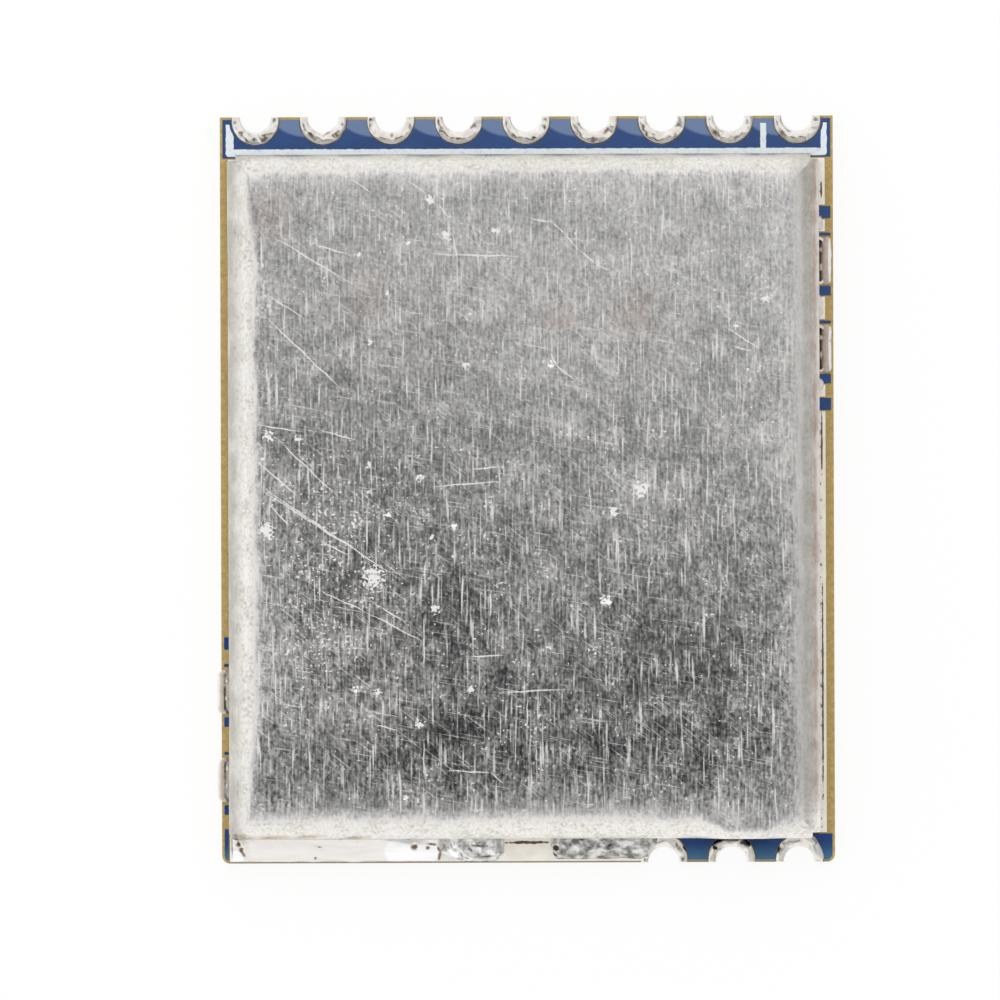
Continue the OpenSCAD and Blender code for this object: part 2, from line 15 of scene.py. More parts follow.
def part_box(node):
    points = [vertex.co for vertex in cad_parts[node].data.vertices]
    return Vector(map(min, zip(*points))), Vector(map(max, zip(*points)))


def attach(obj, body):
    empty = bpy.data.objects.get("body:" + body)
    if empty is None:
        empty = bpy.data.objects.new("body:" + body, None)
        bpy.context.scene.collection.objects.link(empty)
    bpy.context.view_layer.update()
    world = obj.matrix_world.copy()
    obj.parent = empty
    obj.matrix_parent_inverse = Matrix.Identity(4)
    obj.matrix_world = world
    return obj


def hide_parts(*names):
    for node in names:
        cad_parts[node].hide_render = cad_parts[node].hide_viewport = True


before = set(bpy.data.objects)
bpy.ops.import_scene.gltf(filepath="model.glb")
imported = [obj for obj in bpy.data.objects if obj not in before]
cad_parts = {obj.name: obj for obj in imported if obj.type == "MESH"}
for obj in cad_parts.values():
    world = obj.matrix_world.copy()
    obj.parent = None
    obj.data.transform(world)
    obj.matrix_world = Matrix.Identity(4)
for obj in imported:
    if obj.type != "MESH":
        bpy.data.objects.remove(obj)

LOG = logging.getLogger("receiver_module")
MM = 0.001
BODY = "root"
# lengths that several pieces share, in millimetres
PITCH = 2.54
LAND_TOP = 1.02
BOARD_EDGE = 14.0
# how near counts as touching: at a cut, at a corner and at a wall, in millimetres
CUT_SLACK = 1e-6
CORNER_SLACK = 1e-4
WALL_SLACK = 1e-3
# least angle of a rim that stays sharp, in degrees
RIM_ANGLE = 50

Value = float | Sequence[float] | bpy.types.Node | bpy.types.NodeSocket
Inputs = dict[str | int, Value]
Place = Callable[[float, float], Vector]
# an ellipse on a level face: middle x, y, length, width in millimetres, direction in degrees
Mark = tuple[float, float, float, float, float]


def linear(code: str) -> tuple[float, float, float, float]:
    """Turns an sRGB hex colour into linear light.

    Args:
        code: Colour as "#rrggbb".

    Returns:
        Red, green, blue and an alpha of one.
    """
    parts = [int(code[k : k + 2], 16) / 255 for k in (1, 3, 5)]
    r, g, b = (c / 12.92 if c <= 0.04045 else ((c + 0.055) / 1.055) ** 2.4 for c in parts)
    return r, g, b, 1.0


def smoothstep(low: float, high: float, value: float) -> float:
    """Eases from nought to one between two values.

    Args:
        low: Value that gives nought.
        high: Value that gives one.
        value: Value to place between them.

    Returns:
        The eased share.
    """
    t = min(max((value - low) / (high - low), 0.0), 1.0)
    return t * t * (3 - 2 * t)


def bump(centre: float, half: float, value: float) -> float:
    """Gives a smooth hump of height one.

    Args:
        centre: Value at the top of the hump.
        half: Distance at which the hump has run out.
        value: Value to look up.

    Returns:
        The hump's height there.
    """
    return 1.0 - smoothstep(0.0, half, abs(value - centre))


def ripple(spot: Vector, octaves: int) -> float:
    """Gives soft noise at a place, with finer ripples in each further octave."""
    fade, step = 1.0, 2.0
    return noise.fractal(spot, fade, step, octaves)


# ---------------------------------------------------------------- node graphs


class Kind(Enum):
    """Blender's names for the shader nodes in use."""

    BUMP = "ShaderNodeBump"
    COORDS = "ShaderNodeTexCoord"
    EMISSION = "ShaderNodeEmission"
    GRADIENT = "ShaderNodeTexGradient"
    LIGHT_PATH = "ShaderNodeLightPath"
    MAPPING = "ShaderNodeMapping"
    MAP_RANGE = "ShaderNodeMapRange"
    MATH = "ShaderNodeMath"
    MIX = "ShaderNodeMix"
    MIX_SHADER = "ShaderNodeMixShader"
    NOISE = "ShaderNodeTexNoise"
    SEPARATE = "ShaderNodeSeparateXYZ"
    VECTOR_MATH = "ShaderNodeVectorMath"
    WAVE = "ShaderNodeTexWave"


class Graph:
    """A node tree under construction."""

    def __init__(self, tree: bpy.types.NodeTree) -> None:
        """Takes the tree that the nodes go into."""
        self.tree = tree

    def feed(self, node: bpy.types.Node, inputs: Inputs) -> None:
        """Sets or links a node's inputs.

        Args:
            node: Node to feed.
            inputs: Numbers, nodes or sockets by the input's name or place.
        """
        for key, value in inputs.items():
            named = (s for s in node.inputs if s.name == key and s.enabled)
            socket = node.inputs[key] if isinstance(key, int) else next(named)
            if isinstance(value, bpy.types.Node):
                value = next(s for s in value.outputs if s.enabled)
            if isinstance(value, bpy.types.NodeSocket):
                self.tree.links.new(value, socket)
            else:
                socket.default_value = value

    def add(self, kind: Kind, inputs: Inputs | None = None, **settings: object) -> bpy.types.Node:
        """Adds a node with its settings and links.

        Args:
            kind: Which node to add.
            inputs: Numbers, nodes or sockets by the input's name or place.
            settings: Properties of the node.

        Returns:
            The new node.
        """
        node = self.tree.nodes.new(kind.value)
        for name, setting in settings.items():
            setattr(node, name, setting)
        self.feed(node, inputs or {})
        return node

    def total(self, *terms: Value) -> Value:
        """Adds several values up.

        Args:
            terms: Values to add; a single one is handed back as it is.

        Returns:
            Their sum.
        """
        whole = terms[0]
        for term in terms[1:]:
            whole = self.add(Kind.MATH, {0: whole, 1: term}, operation="ADD")
        return whole

    def millimetres(self) -> bpy.types.Node:
        """Gives the piece's own coordinates in millimetres."""
        place = self.add(Kind.COORDS).outputs["Object"]
        return self.add(Kind.MAPPING, {"Vector": place, "Scale": (1 / MM, 1 / MM, 1 / MM)})

    def stretched(self, mm: Value, size: tuple[float, float], turn: float, detail: float) -> bpy.types.Node:
        """Draws noise whose marks are longer one way than the other.

        Args:
            mm: Coordinates in millimetres.
            size: Size of its marks in x and y before they are turned.
            turn: Turn about the upright axis in degrees.
            detail: Levels of finer detail.

        Returns:
            The noise.
        """
        local = self.add(
            Kind.MAPPING,
            {"Vector": mm, "Rotation": (0.0, 0.0, math.radians(turn)), "Scale": (*size, size[0])},
            vector_type="TEXTURE",
        )
        return self.add(Kind.NOISE, {"Vector": local, "Scale": 1.0, "Detail": detail, "Roughness": 0.6})

    def spots(self, mm: Value, marks: Iterable[Mark]) -> Value:
        """Draws soft ellipses on a level face, and keeps the strongest of them at each place.

        Args:
            mm: Coordinates in millimetres.
            marks: The ellipses.

        Returns:
            One in the middle of each ellipse and nought outside all of them.
        """
        flat = 1000.0
        joined: Value = 0.0
        for x, y, length, width, angle in marks:
            local = self.add(
                Kind.MAPPING,
                {
                    "Vector": mm,
                    "Location": (x, y, 0.0),
                    "Rotation": (0.0, 0.0, math.radians(angle)),
                    "Scale": (length / 2, width / 2, flat),
                },
                vector_type="TEXTURE",
            )
            spot = self.add(Kind.GRADIENT, {"Vector": local}, gradient_type="SPHERICAL").outputs["Fac"]
            joined = self.add(Kind.MATH, {0: joined, 1: spot}, operation="MAXIMUM")
        return joined


# ------------------------------------------------------------------- finishes


@dataclass(frozen=True)
class Finish:
    """A real material with the patterns that it shows; lengths are in millimetres."""

    title: str

    def build(self) -> bpy.types.Material:
        """Makes the material on object coordinates in millimetres.

        Returns:
            The finished material.
        """
        made = bpy.data.materials.new(self.title)
        made.use_nodes = True
        graph = Graph(made.node_tree)
        mm = graph.millimetres()
        graph.feed(made.node_tree.nodes["Principled BSDF"], self.paint(graph, mm))
        return made

    def paint(self, graph: Graph, mm: Value) -> Inputs:
        """Lays out the finish's patterns.

        Args:
            graph: Tree that takes the nodes.
            mm: Object coordinates in millimetres.

        Returns:
            What goes into the surface shader, by the name of its input.
        """
        raise NotImplementedError


@cache
def material(finish: Finish) -> bpy.types.Material:
    """Builds a finish once and hands out the same material afterwards."""
    return finish.build()


# scratches that stand out on the can's top: middle x, y, length in millimetres, direction in degrees
TOP_SCRATCHES = (
    (-7.94, 8.53, 3.73, -31),
    (-8.34, 5.12, 4.13, -44),
    (-8.97, 6.82, 1.70, -33),
    (-7.27, 8.94, 1.29, -17),
    (-4.08, 11.28, 0.80, -37),
    (-3.09, 10.36, 0.64, -54),
    (-2.66, 9.00, 1.10, -80),
    (-1.93, 8.73, 3.45, -2),
    (-6.14, 11.30, 1.01, -31),
    (-7.31, -1.63, 6.12, -34),
    (-8.11, -1.16, 4.09, -33),
    (-7.17, -2.17, 1.19, -28),
    (-9.33, 0.43, 2.10, -40),
    (-8.21, 0.85, 3.26, -44),
    (-7.10, 2.05, 1.47, -15),
    (-9.14, 2.29, 1.63, -9),
    (-9.24, -0.95, 1.01, -48),
    (-6.80, -4.19, 1.73, -24),
    (-4.98, -5.09, 2.33, -28),
    (-1.59, 0.79, 1.13, 6),
    (-2.25, 0.21, 2.44, 4),
    (-5.06, -4.60, 1.09, -31),
    (-5.98, -1.64, 1.61, -90),
    (-3.84, -3.14, 1.01, -90),
    (-3.88, -5.71, 1.87, -90),
    (-2.44, -3.84, 1.50, -91),
    (-1.39, -4.27, 1.01, -92),
    (0.11, -7.51, 2.36, 2),
    (-1.57, -6.20, 1.24, 3),
    (-2.21, -10.49, 1.62, -4),
    (-1.18, -10.75, 0.61, -43),
    (-5.26, -8.86, 0.93, -14),
    (-3.88, -10.04, 1.39, -90),
    (-0.04, -8.30, 1.12, -92),
    (0.56, 10.00, 0.78, -9),
    (1.16, 9.75, 0.70, -40),
    (1.69, 9.22, 0.92, -49),
    (2.25, 8.66, 0.80, -41),
    (2.79, 8.27, 0.66, -30),
    (0.97, 4.84, 0.52, -65),
    (1.42, 4.35, 0.96, -38),
    (8.06, 5.57, 1.55, -32),
    (8.02, 5.21, 0.66, -16),
)
# bright nicks on the can's top: middle x, y, size in millimetres
TOP_NICKS = (
    (-3.62, 10.78, 0.34),
    (-3.02, 9.46, 0.34),
    (-1.18, 9.65, 0.26),
    (-6.28, 8.75, 0.22),
    (-2.27, 4.63, 0.26),
    (-4.40, 9.20, 0.22),
    (-7.55, 7.85, 0.15),
    (-5.19, 7.33, 0.15),
    (-5.86, 5.53, 0.19),
    (-5.90, 0.92, 0.22),
    (-5.90, -0.09, 0.19),
    (-5.19, -0.91, 0.19),
    (-3.54, -1.78, 0.19),
    (-2.75, -1.33, 0.26),
    (-3.43, -4.47, 0.30),
    (-5.75, -3.27, 0.82),
    (-9.61, 2.01, 0.34),
    (-8.52, 1.86, 0.30),
    (-9.72, -1.51, 0.52),
    (-3.99, 0.47, 0.26),
    (4.22, -0.01, 0.52),
    (-6.43, -7.43, 0.30),
    (-5.64, -7.55, 0.26),
    (-4.07, -8.74, 0.30),
    (-2.12, -7.43, 0.26),
    (-4.59, -11.48, 0.22),
    (0.92, 4.63, 0.26),
    (3.17, -0.84, 0.37),
    (2.90, -4.14, 0.41),
    (7.77, 6.02, 0.19),
    (8.86, 7.07, 0.34),
)
# stains on the can: middle x, y, length, width in millimetres, direction in degrees
CAN_STAINS = (
    (4.0, 6.6, 3.4, 3.4, 0.0),
    (1.2, 6.4, 2.6, 1.8, 0.0),
    (-9.7, 10.2, 3.2, 3.2, 0.0),
    (-6.0, 7.0, 3.0, 3.0, 0.0),
)
# flux along the foot of the front bend, given in the same way
FLUX_STAINS = (
    (-9.7, -12.98, 2.9, 0.34, 2.0),
    (-8.2, -12.94, 2.0, 0.3, 5.0),
    (-6.5, -13.0, 1.5, 0.28, 3.0),
    (-10.75, -12.95, 0.9, 0.5, 0.0),
)
# flux and folds in the tin of the half holes, given in the same way
HOLE_STAINS = (
    (-9.83, 13.14, 0.6, 0.28, 30.0),
    (-7.44, 13.4, 0.8, 0.2, 34.0),
    (-7.1, 13.32, 0.3, 0.3, 0.0),
    (-5.04, 13.29, 0.2, 0.4, 0.0),
    (-4.36, 13.62, 0.2, 0.45, 0.0),
    (-2.53, 13.17, 0.8, 0.2, 0.0),
    (-2.0, 13.66, 0.5, 0.18, 55.0),
    (-0.5, 13.29, 0.55, 0.28, -40.0),
    (0.69, 13.59, 0.18, 0.36, 0.0),
    (1.97, 13.7, 0.22, 0.34, 30.0),
    (2.53, 13.1, 0.6, 0.4, 20.0),
    (3.02, 13.47, 0.66, 0.26, 50.0),
    (4.4, 13.59, 0.22, 0.4, 0.0),
    (5.68, 13.66, 0.4, 0.2, 45.0),
    (7.1, 13.36, 0.66, 0.38, -50.0),
    (9.61, 13.29, 0.66, 0.38, -50.0),
)
# painted shade on the left and back walls, on the right bend and on the right wall, given in the same way
SHADED_WALLS = (
    (-11.07, -0.3, 1.1, 400.0, 0.0),
    (-0.1, 12.6, 400.0, 0.8, 0.0),
)
SHADED_RIGHT_BEND = ((10.3, -0.3, 1.4, 400.0, 0.0),)
SHADED_RIGHT_WALL = ((10.72, -0.3, 0.5, 400.0, 0.0),)
# places on the can's top that kept their polish, that were rubbed, and that are strewn with flecks
CLEAN_PLACES = (
    (5.6, -6.2, 13.0, 9.5, 0.0),
    (-2.7, -4.8, 4.6, 5.0, 0.0),
    (-8.6, 1.6, 4.0, 2.4, 0.0),
    (3.6, -9.5, 24.0, 5.4, 0.0),
)
RUBBED_PLACES = ((-9.6, -5.6, 3.2, 11.0, 0.0), (4.2, 0.0, 3.0, 2.0, 0.0))
FLECKED_PLACES = ((-7.0, -3.5, 11.0, 13.0, 0.0),)


@dataclass(frozen=True)
class Tinplate(Finish):
    """Cold-rolled steel with a tin coat: a grey mirror, dulled by rolling grain, rubs and scratches."""

    title: str = "tinplate"
    clear: str = "#959494"
    rubbed: str = "#faf9f7"
    # warm light tint on the bends: handling marks and a painted highlight
    warm: str = "#c9a899"
    flux: str = "#a88a66"
    handled_and_highlight: str = "#efe2d2"
    # grey for pits on the bends, and for the painted shade on the walls and the right bend
    pit_grey_and_shade: str = "#bdbab2"
    # brownish grey of the painted shade on the right wall
    shade_brown: str = "#b3a49a"
    grain: tuple[float, float] = (0.1, 0.33)
    lines: tuple[float, float] = (0.09, 1.5)
    hairs: tuple[float, float] = (0.05, 1.6)
    hair_turns: tuple[float, ...] = (-128.0, -100.0)
    pit: float = 0.13
    fleck: float = 0.11
    patch: float = 0.9
    cloud: float = 5.0
    fray: float = 0.7
    fray_by: float = 0.12
    fleck_gain: float = 2.2
    fleck_more: float = 0.2
    scratch_w: float = 0.06
    scratch_grow: float = 1.1
    nick_grow: float = 1.8
    bend_z: tuple[float, float] = (2.985, 2.9)
    # how much lighter the bends are: rubbed tin and a painted highlight
    bend_rub_and_highlight: float = 0.65
    peel: tuple[float, float] = (0.3, 0.9)
    relief: float = 0.008
    rubbed_x: tuple[float, float] = (8.5, 10.2)
    rubbed_y: tuple[float, float] = (-10.4, -12.2)
    edge_rub: float = 0.3
    # where the painted shade on the right bend and wall fades out towards the front
    right_shade_y: tuple[float, float] = (-12.3, -11.0)
    chalky: tuple[float, float] = (0.7, 1.5)
    chalk_metal: float = 0.3
    unworn: float = -2.36
    tint_full: float = 0.5
    wear_span: tuple[float, float] = (-0.35, 1.25)
    polish: tuple[float, float] = (0.11, 0.43)
    cut_dulling: float = 0.5

    def paint(self, graph: Graph, mm: Value) -> Inputs:
        """Lays rolling grain, rubbed patches, scratches and nicks over the tin, with painted shade on the
        walls and the right side and a painted highlight on the bends.

        Args:
            graph: Tree that takes the nodes.
            mm: Object coordinates in millimetres.

        Returns:
            Shader inputs by name.
        """
        grain = graph.stretched(mm, self.grain, 0.0, 0.8)
        lines = graph.stretched(mm, self.lines, 0.0, 1.0)
        pits, flecks, patches, clouds, fray = (
            graph.add(Kind.NOISE, {"Vector": mm, "Scale": 1 / size, "Detail": detail, "Roughness": rough})
            for size, detail, rough in (
                (self.pit, 0.6, 0.6),
                (self.fleck, 1.0, 0.5),
                (self.patch, 3.0, 0.7),
                (self.cloud, 2.0, 0.6),
                (self.fray, 1.0, 0.5),
            )
        )
        centred = graph.add(
            Kind.VECTOR_MATH, {0: fray.outputs["Color"], 1: (0.5, 0.5, 0.5)}, operation="SUBTRACT"
        )
        shove = (self.fray_by, self.fray_by, 0.0)
        frayed = graph.add(Kind.VECTOR_MATH, {0: centred, 1: shove, 2: mm}, operation="MULTIPLY_ADD")
        cuts = graph.spots(
            frayed, ((x, y, n * self.scratch_grow, self.scratch_w, a) for x, y, n, a in TOP_SCRATCHES)
        )
        nicks = graph.spots(
            frayed, ((x, y, n * self.nick_grow, n * self.nick_grow, 0.0) for x, y, n in TOP_NICKS)
        )
        clustered, strewn = (
            graph.add(Kind.MATH, {0: flecks, 1: self.fleck_gain, 2: base}, operation="MULTIPLY_ADD")
            for base in (nicks, patches)
        )
        clean, rubbed, flecked = (
            graph.spots(mm, places) for places in (CLEAN_PLACES, RUBBED_PLACES, FLECKED_PLACES)
        )
        strewn = graph.add(
            Kind.MATH, {0: flecked, 1: self.fleck_more, 2: strewn}, operation="MULTIPLY_ADD"
        )
        across, along_y, height = graph.add(Kind.SEPARATE, {"Vector": mm}).outputs
        bent, rubbed_x, rubbed_y, short = (
            graph.add(Kind.MAP_RANGE, {"Value": place, "From Min": start, "From Max": end})
            for place, (start, end) in (
                (height, self.bend_z),
                (graph.add(Kind.MATH, {0: across}, operation="ABSOLUTE"), self.rubbed_x),
                (along_y, self.rubbed_y),
                (along_y, self.right_shade_y),
            )
        )
        # what each pattern adds to the wear; the bends' share is also a painted highlight
        wear_and_highlight: Value = self.unworn
        for pattern, weight in (
            (grain, 1.5),
            (pits, 0.95),
            (lines, 0.9),
            (patches, 1.5),
            (clean, -0.36),
            (rubbed, 0.4),
            (clouds, 0.7),
            (bent, self.bend_rub_and_highlight),
            (graph.add(Kind.MATH, {0: rubbed_x, 1: rubbed_y}, operation="MAXIMUM"), self.edge_rub),
        ):
            wear_and_highlight = graph.add(Kind.MATH, {0: pattern, 1: weight, 2: wear_and_highlight}, operation="MULTIPLY_ADD")
        # sharp marks: where each one starts to show, where it is full, and how bright it is
        marks = [
            (lines, 0.62, 0.74, 0.65),
            (cuts, 0.0, 0.3, 0.85),
            (clustered, 1.56, 1.86, 1.6),
            (strewn, 2.0, 2.26, 1.15),
        ]
        marks += [(graph.stretched(mm, self.hairs, turn, 1.0), 0.64, 0.76, 0.5) for turn in self.hair_turns]
        cut: Value = 0.0
        for pattern, low, high, amount in marks:
            mark = graph.add(
                Kind.MAP_RANGE, {"Value": pattern, "From Min": low, "From Max": high, "To Max": amount}
            )
            cut = graph.add(Kind.MATH, {0: cut, 1: mark}, operation="MAXIMUM")
        wear_and_highlight = graph.total(wear_and_highlight, cut)
        span = {"Value": wear_and_highlight, "From Min": self.wear_span[0], "From Max": self.wear_span[1]}
        colour = graph.add(
            Kind.MIX,
            {"Factor": graph.add(Kind.MAP_RANGE, span), "A": linear(self.clear), "B": linear(self.rubbed)},
            data_type="RGBA",
        )
        # painted shade on the right bend and the right wall, faded out towards the front
        shaded_bend, shaded_wall = (
            graph.add(Kind.MATH, {0: graph.spots(mm, places), 1: short}, operation="MULTIPLY")
            for places in (SHADED_RIGHT_BEND, SHADED_RIGHT_WALL)
        )
        # tints: where each one starts, its colour, and its share where it is full
        tints = (
            # lighter bends: handling marks and a painted highlight
            (bent, 0.0, self.handled_and_highlight, 0.22),
            (graph.add(Kind.MATH, {0: bent, 1: pits}, operation="MULTIPLY"), 0.2, self.pit_grey_and_shade, 0.8),
            (graph.spots(mm, CAN_STAINS), 0.1, self.warm, 0.3),
            (graph.spots(mm, FLUX_STAINS), 0.1, self.flux, 0.75),
            # painted shade on the left and back walls
            (graph.spots(mm, SHADED_WALLS), 0.0, self.pit_grey_and_shade, 0.9),
            # painted shade on the right bend and the right wall
            (shaded_bend, 0.0, self.pit_grey_and_shade, 0.62),
            (shaded_wall, 0.0, self.shade_brown, 0.95),
        )
        for pattern, low, tint, most in tints:
            blotched = graph.add(Kind.MATH, {0: pattern, 1: patches}, operation="MULTIPLY")
            share = graph.add(
                Kind.MAP_RANGE,
                {"Value": blotched, "From Min": low, "From Max": self.tint_full, "To Max": most},
            )
            colour = graph.add(Kind.MIX, {"Factor": share, "A": colour, "B": linear(tint)}, data_type="RGBA")
        relief = graph.total(grain, pits)
        peel = graph.add(Kind.MAP_RANGE, {"Value": bent, "To Min": self.peel[0], "To Max": self.peel[1]})
        polish = graph.add(Kind.MAP_RANGE, {**span, "To Min": self.polish[0], "To Max": self.polish[1]})
        chalk = {"Value": cut, "From Min": self.chalky[0], "From Max": self.chalky[1]}
        return {
            "Base Color": colour,
            "Metallic": graph.add(Kind.MAP_RANGE, {**chalk, "To Min": 1.0, "To Max": self.chalk_metal}),
            "Roughness": graph.add(
                Kind.MATH, {0: cut, 1: self.cut_dulling, 2: polish}, operation="MULTIPLY_ADD"
            ),
            "Normal": graph.add(
                Kind.BUMP, {"Strength": peel, "Distance": self.relief * MM, "Height": relief}
            ),
        }


@dataclass(frozen=True)
class Solder(Finish):
    """Tin solder that froze as it flowed: bright, lumpy, dull in places, brown where flux stayed, and in some
    finishes with painted shade by the can's wall and painted highlights.
    """

    title: str = "smooth solder"
    bright: str = "#f8f6f2"
    dull: str = "#e4e0da"
    # brown of flux stains; in some finishes it also draws painted shade by the can's wall
    flux: str = "#8a7a64"
    lump: tuple[float, float] = (0.6, 0.6)
    crinkle: float = 0.12
    relief: float = 0.006
    flux_from: float = 0.68
    flux_fade: float = 0.12
    gloss: tuple[float, float] = (0.34, 0.6)
    metal: float = 1.0
    stains_and_shade: tuple[Mark, ...] = ()
    # ellipses where the tin is mixed towards white as painted highlights
    painted_highlights: tuple[Mark, ...] = ()
    white: str = "#ffffff"
    # axis, start, full place and amount of painted shade that darkens the tin towards the can's wall
    rim: tuple[str, float, float, float] | None = None
    spread: tuple[float, float] = (0.35, 0.65)
    highlight_edge: float = 0.09
    dirt: float = 0.25
    stain_and_shade_weight: float = 0.75
    crinkle_share: float = 0.4
    relief_share: float = 0.8

    def paint(self, graph: Graph, mm: Value) -> Inputs:
        """Lays soft lumps, fine crinkles and flux stains over the tin, with painted shade by the wall and
        painted highlights where a finish has them.

        Args:
            graph: Tree that takes the nodes.
            mm: Object coordinates in millimetres.

        Returns:
            Shader inputs by name.
        """
        spread = {"From Min": self.spread[0], "From Max": self.spread[1]}
        lumps = graph.stretched(mm, self.lump, 0.0, 2.0)
        crinkles = graph.add(
            Kind.NOISE,
            {"Vector": mm, "Scale": 1 / self.crinkle, "Detail": 3.0, "Roughness": 0.6, "Distortion": 0.6},
        )
        tin = graph.add(
            Kind.MIX,
            {
                "Factor": graph.add(Kind.MAP_RANGE, {"Value": lumps, **spread}),
                "A": linear(self.dull),
                "B": linear(self.bright),
            },
            data_type="RGBA",
        )
        # painted highlights: the tin is mixed towards white inside these ellipses
        if self.painted_highlights:
            share = graph.add(
                Kind.MAP_RANGE, {"Value": graph.spots(mm, self.painted_highlights), "From Max": self.highlight_edge}
            )
            tin = graph.add(Kind.MIX, {"Factor": share, "A": tin, "B": linear(self.white)}, data_type="RGBA")
        dirt: Value = graph.add(
            Kind.NOISE, {"Vector": mm, "Scale": 1 / self.dirt, "Detail": 4.0, "Roughness": 0.65}
        )
        # spots of real flux in some finishes and of painted shade by the wall in others
        if self.stains_and_shade:
            stain_and_shade_spots = graph.spots(mm, self.stains_and_shade)
            dirt = graph.add(Kind.MATH, {0: stain_and_shade_spots, 1: self.stain_and_shade_weight, 2: dirt}, operation="MULTIPLY_ADD")
        # painted shade, growing towards the can's wall
        if self.rim:
            axis, start, full, amount = self.rim
            place = graph.add(Kind.SEPARATE, {"Vector": mm}).outputs[axis]
            near = graph.add(
                Kind.MAP_RANGE, {"Value": place, "From Min": start, "From Max": full, "To Max": amount}
            )
            dirt = graph.total(dirt, near)
        # share of the flux colour: flux stains and painted shade
        stained = self.flux_from + self.flux_fade
        flux_and_shade = graph.add(
            Kind.MAP_RANGE, {"Value": dirt, "From Min": self.flux_from, "From Max": stained}
        )
        height = graph.add(
            Kind.MATH, {0: crinkles, 1: self.crinkle_share, 2: lumps}, operation="MULTIPLY_ADD"
        )
        return {
            "Base Color": graph.add(
                Kind.MIX, {"Factor": flux_and_shade, "A": tin, "B": linear(self.flux)}, data_type="RGBA"
            ),
            "Metallic": self.metal,
            "Roughness": graph.add(
                Kind.MAP_RANGE, {"Value": lumps, **spread, "To Min": self.gloss[0], "To Max": self.gloss[1]}
            ),
            "Normal": graph.add(
                Kind.BUMP,
                {"Strength": self.relief_share, "Distance": self.relief * MM, "Height": height},
            ),
        }


@dataclass(frozen=True)
class Laminate(Finish):
    """Sawn glass cloth in epoxy: olive gold, with its threads, pale broken fibres and painted shade along the
    top of its front edge.
    """

    title: str = "glass-fibre laminate"
    resin: str = "#9a8148"
    pale: str = "#cdb272"
    fibre: str = "#ddd0a8"
    # painted shade along the top of the front edge: its grey, where it lies, and its largest share
    edge_shade_grey: str = "#8b8479"
    edge_shade_y: tuple[float, float] = (-13.9, -13.96)
    edge_shade_z: tuple[float, float] = (0.86, 0.97)
    edge_shade_most: float = 0.8
    thread: float = 0.45
    ply: float = 0.17
    grit: float = 0.11
    relief: float = 0.02

    def paint(self, graph: Graph, mm: Value) -> Inputs:
        """Lays the cloth's threads, its plies on the sawn edge, loose fibres and painted shade along the top
        of the front edge.

        Args:
            graph: Tree that takes the nodes.
            mm: Object coordinates in millimetres.

        Returns:
            Shader inputs by name.
        """
        # a wave repeats after tau / 20 units, so this scale gives the real spacing
        warp, weft, plies = (
            graph.add(
                Kind.WAVE,
                {"Vector": mm, "Scale": math.tau / 20 / spacing, "Distortion": bent, "Detail": 2.0},
                bands_direction=axis,
            )
            for axis, spacing, bent in (
                ("X", self.thread, 1.2),
                ("Y", self.thread, 1.2),
                ("Z", self.ply, 0.8),
            )
        )
        grain = graph.add(
            Kind.NOISE, {"Vector": mm, "Scale": 1 / self.grit, "Detail": 4.0, "Roughness": 0.7}
        )
        weave = graph.add(Kind.MATH, {0: warp, 1: weft}, operation="MULTIPLY")
        cloth = graph.total(
            graph.add(Kind.MATH, {0: weave, 1: 0.25}, operation="MULTIPLY"),
            graph.add(Kind.MATH, {0: plies, 1: 0.2}, operation="MULTIPLY"),
            graph.add(Kind.MAP_RANGE, {"Value": grain, "From Min": 0.3, "From Max": 0.7, "To Max": 0.6}),
        )
        body = graph.add(
            Kind.MIX, {"Factor": cloth, "A": linear(self.resin), "B": linear(self.pale)}, data_type="RGBA"
        )
        frayed = graph.add(
            Kind.MAP_RANGE, {"Value": grain, "From Min": 0.62, "From Max": 0.72, "To Max": 0.6}
        )
        cut = graph.add(Kind.MIX, {"Factor": frayed, "A": body, "B": linear(self.fibre)}, data_type="RGBA")
        places = graph.add(Kind.SEPARATE, {"Vector": mm}).outputs
        near, high = (
            graph.add(
                Kind.MAP_RANGE,
                {"Value": places[axis], "From Min": start, "From Max": end, "To Max": most},
            )
            for axis, (start, end), most in (
                ("Y", self.edge_shade_y, self.edge_shade_most),
                ("Z", self.edge_shade_z, 1.0),
            )
        )
        # painted shade: grey along the top of the front edge, under the solder
        rim = graph.add(Kind.MATH, {0: near, 1: high}, operation="MULTIPLY")
        return {
            "Base Color": graph.add(
                Kind.MIX, {"Factor": rim, "A": cut, "B": linear(self.edge_shade_grey)}, data_type="RGBA"
            ),
            "Roughness": graph.add(Kind.MAP_RANGE, {"Value": grain, "To Min": 0.42, "To Max": 0.7}),
            "Normal": graph.add(Kind.BUMP, {"Strength": 0.6, "Distance": self.relief * MM, "Height": cloth}),
        }


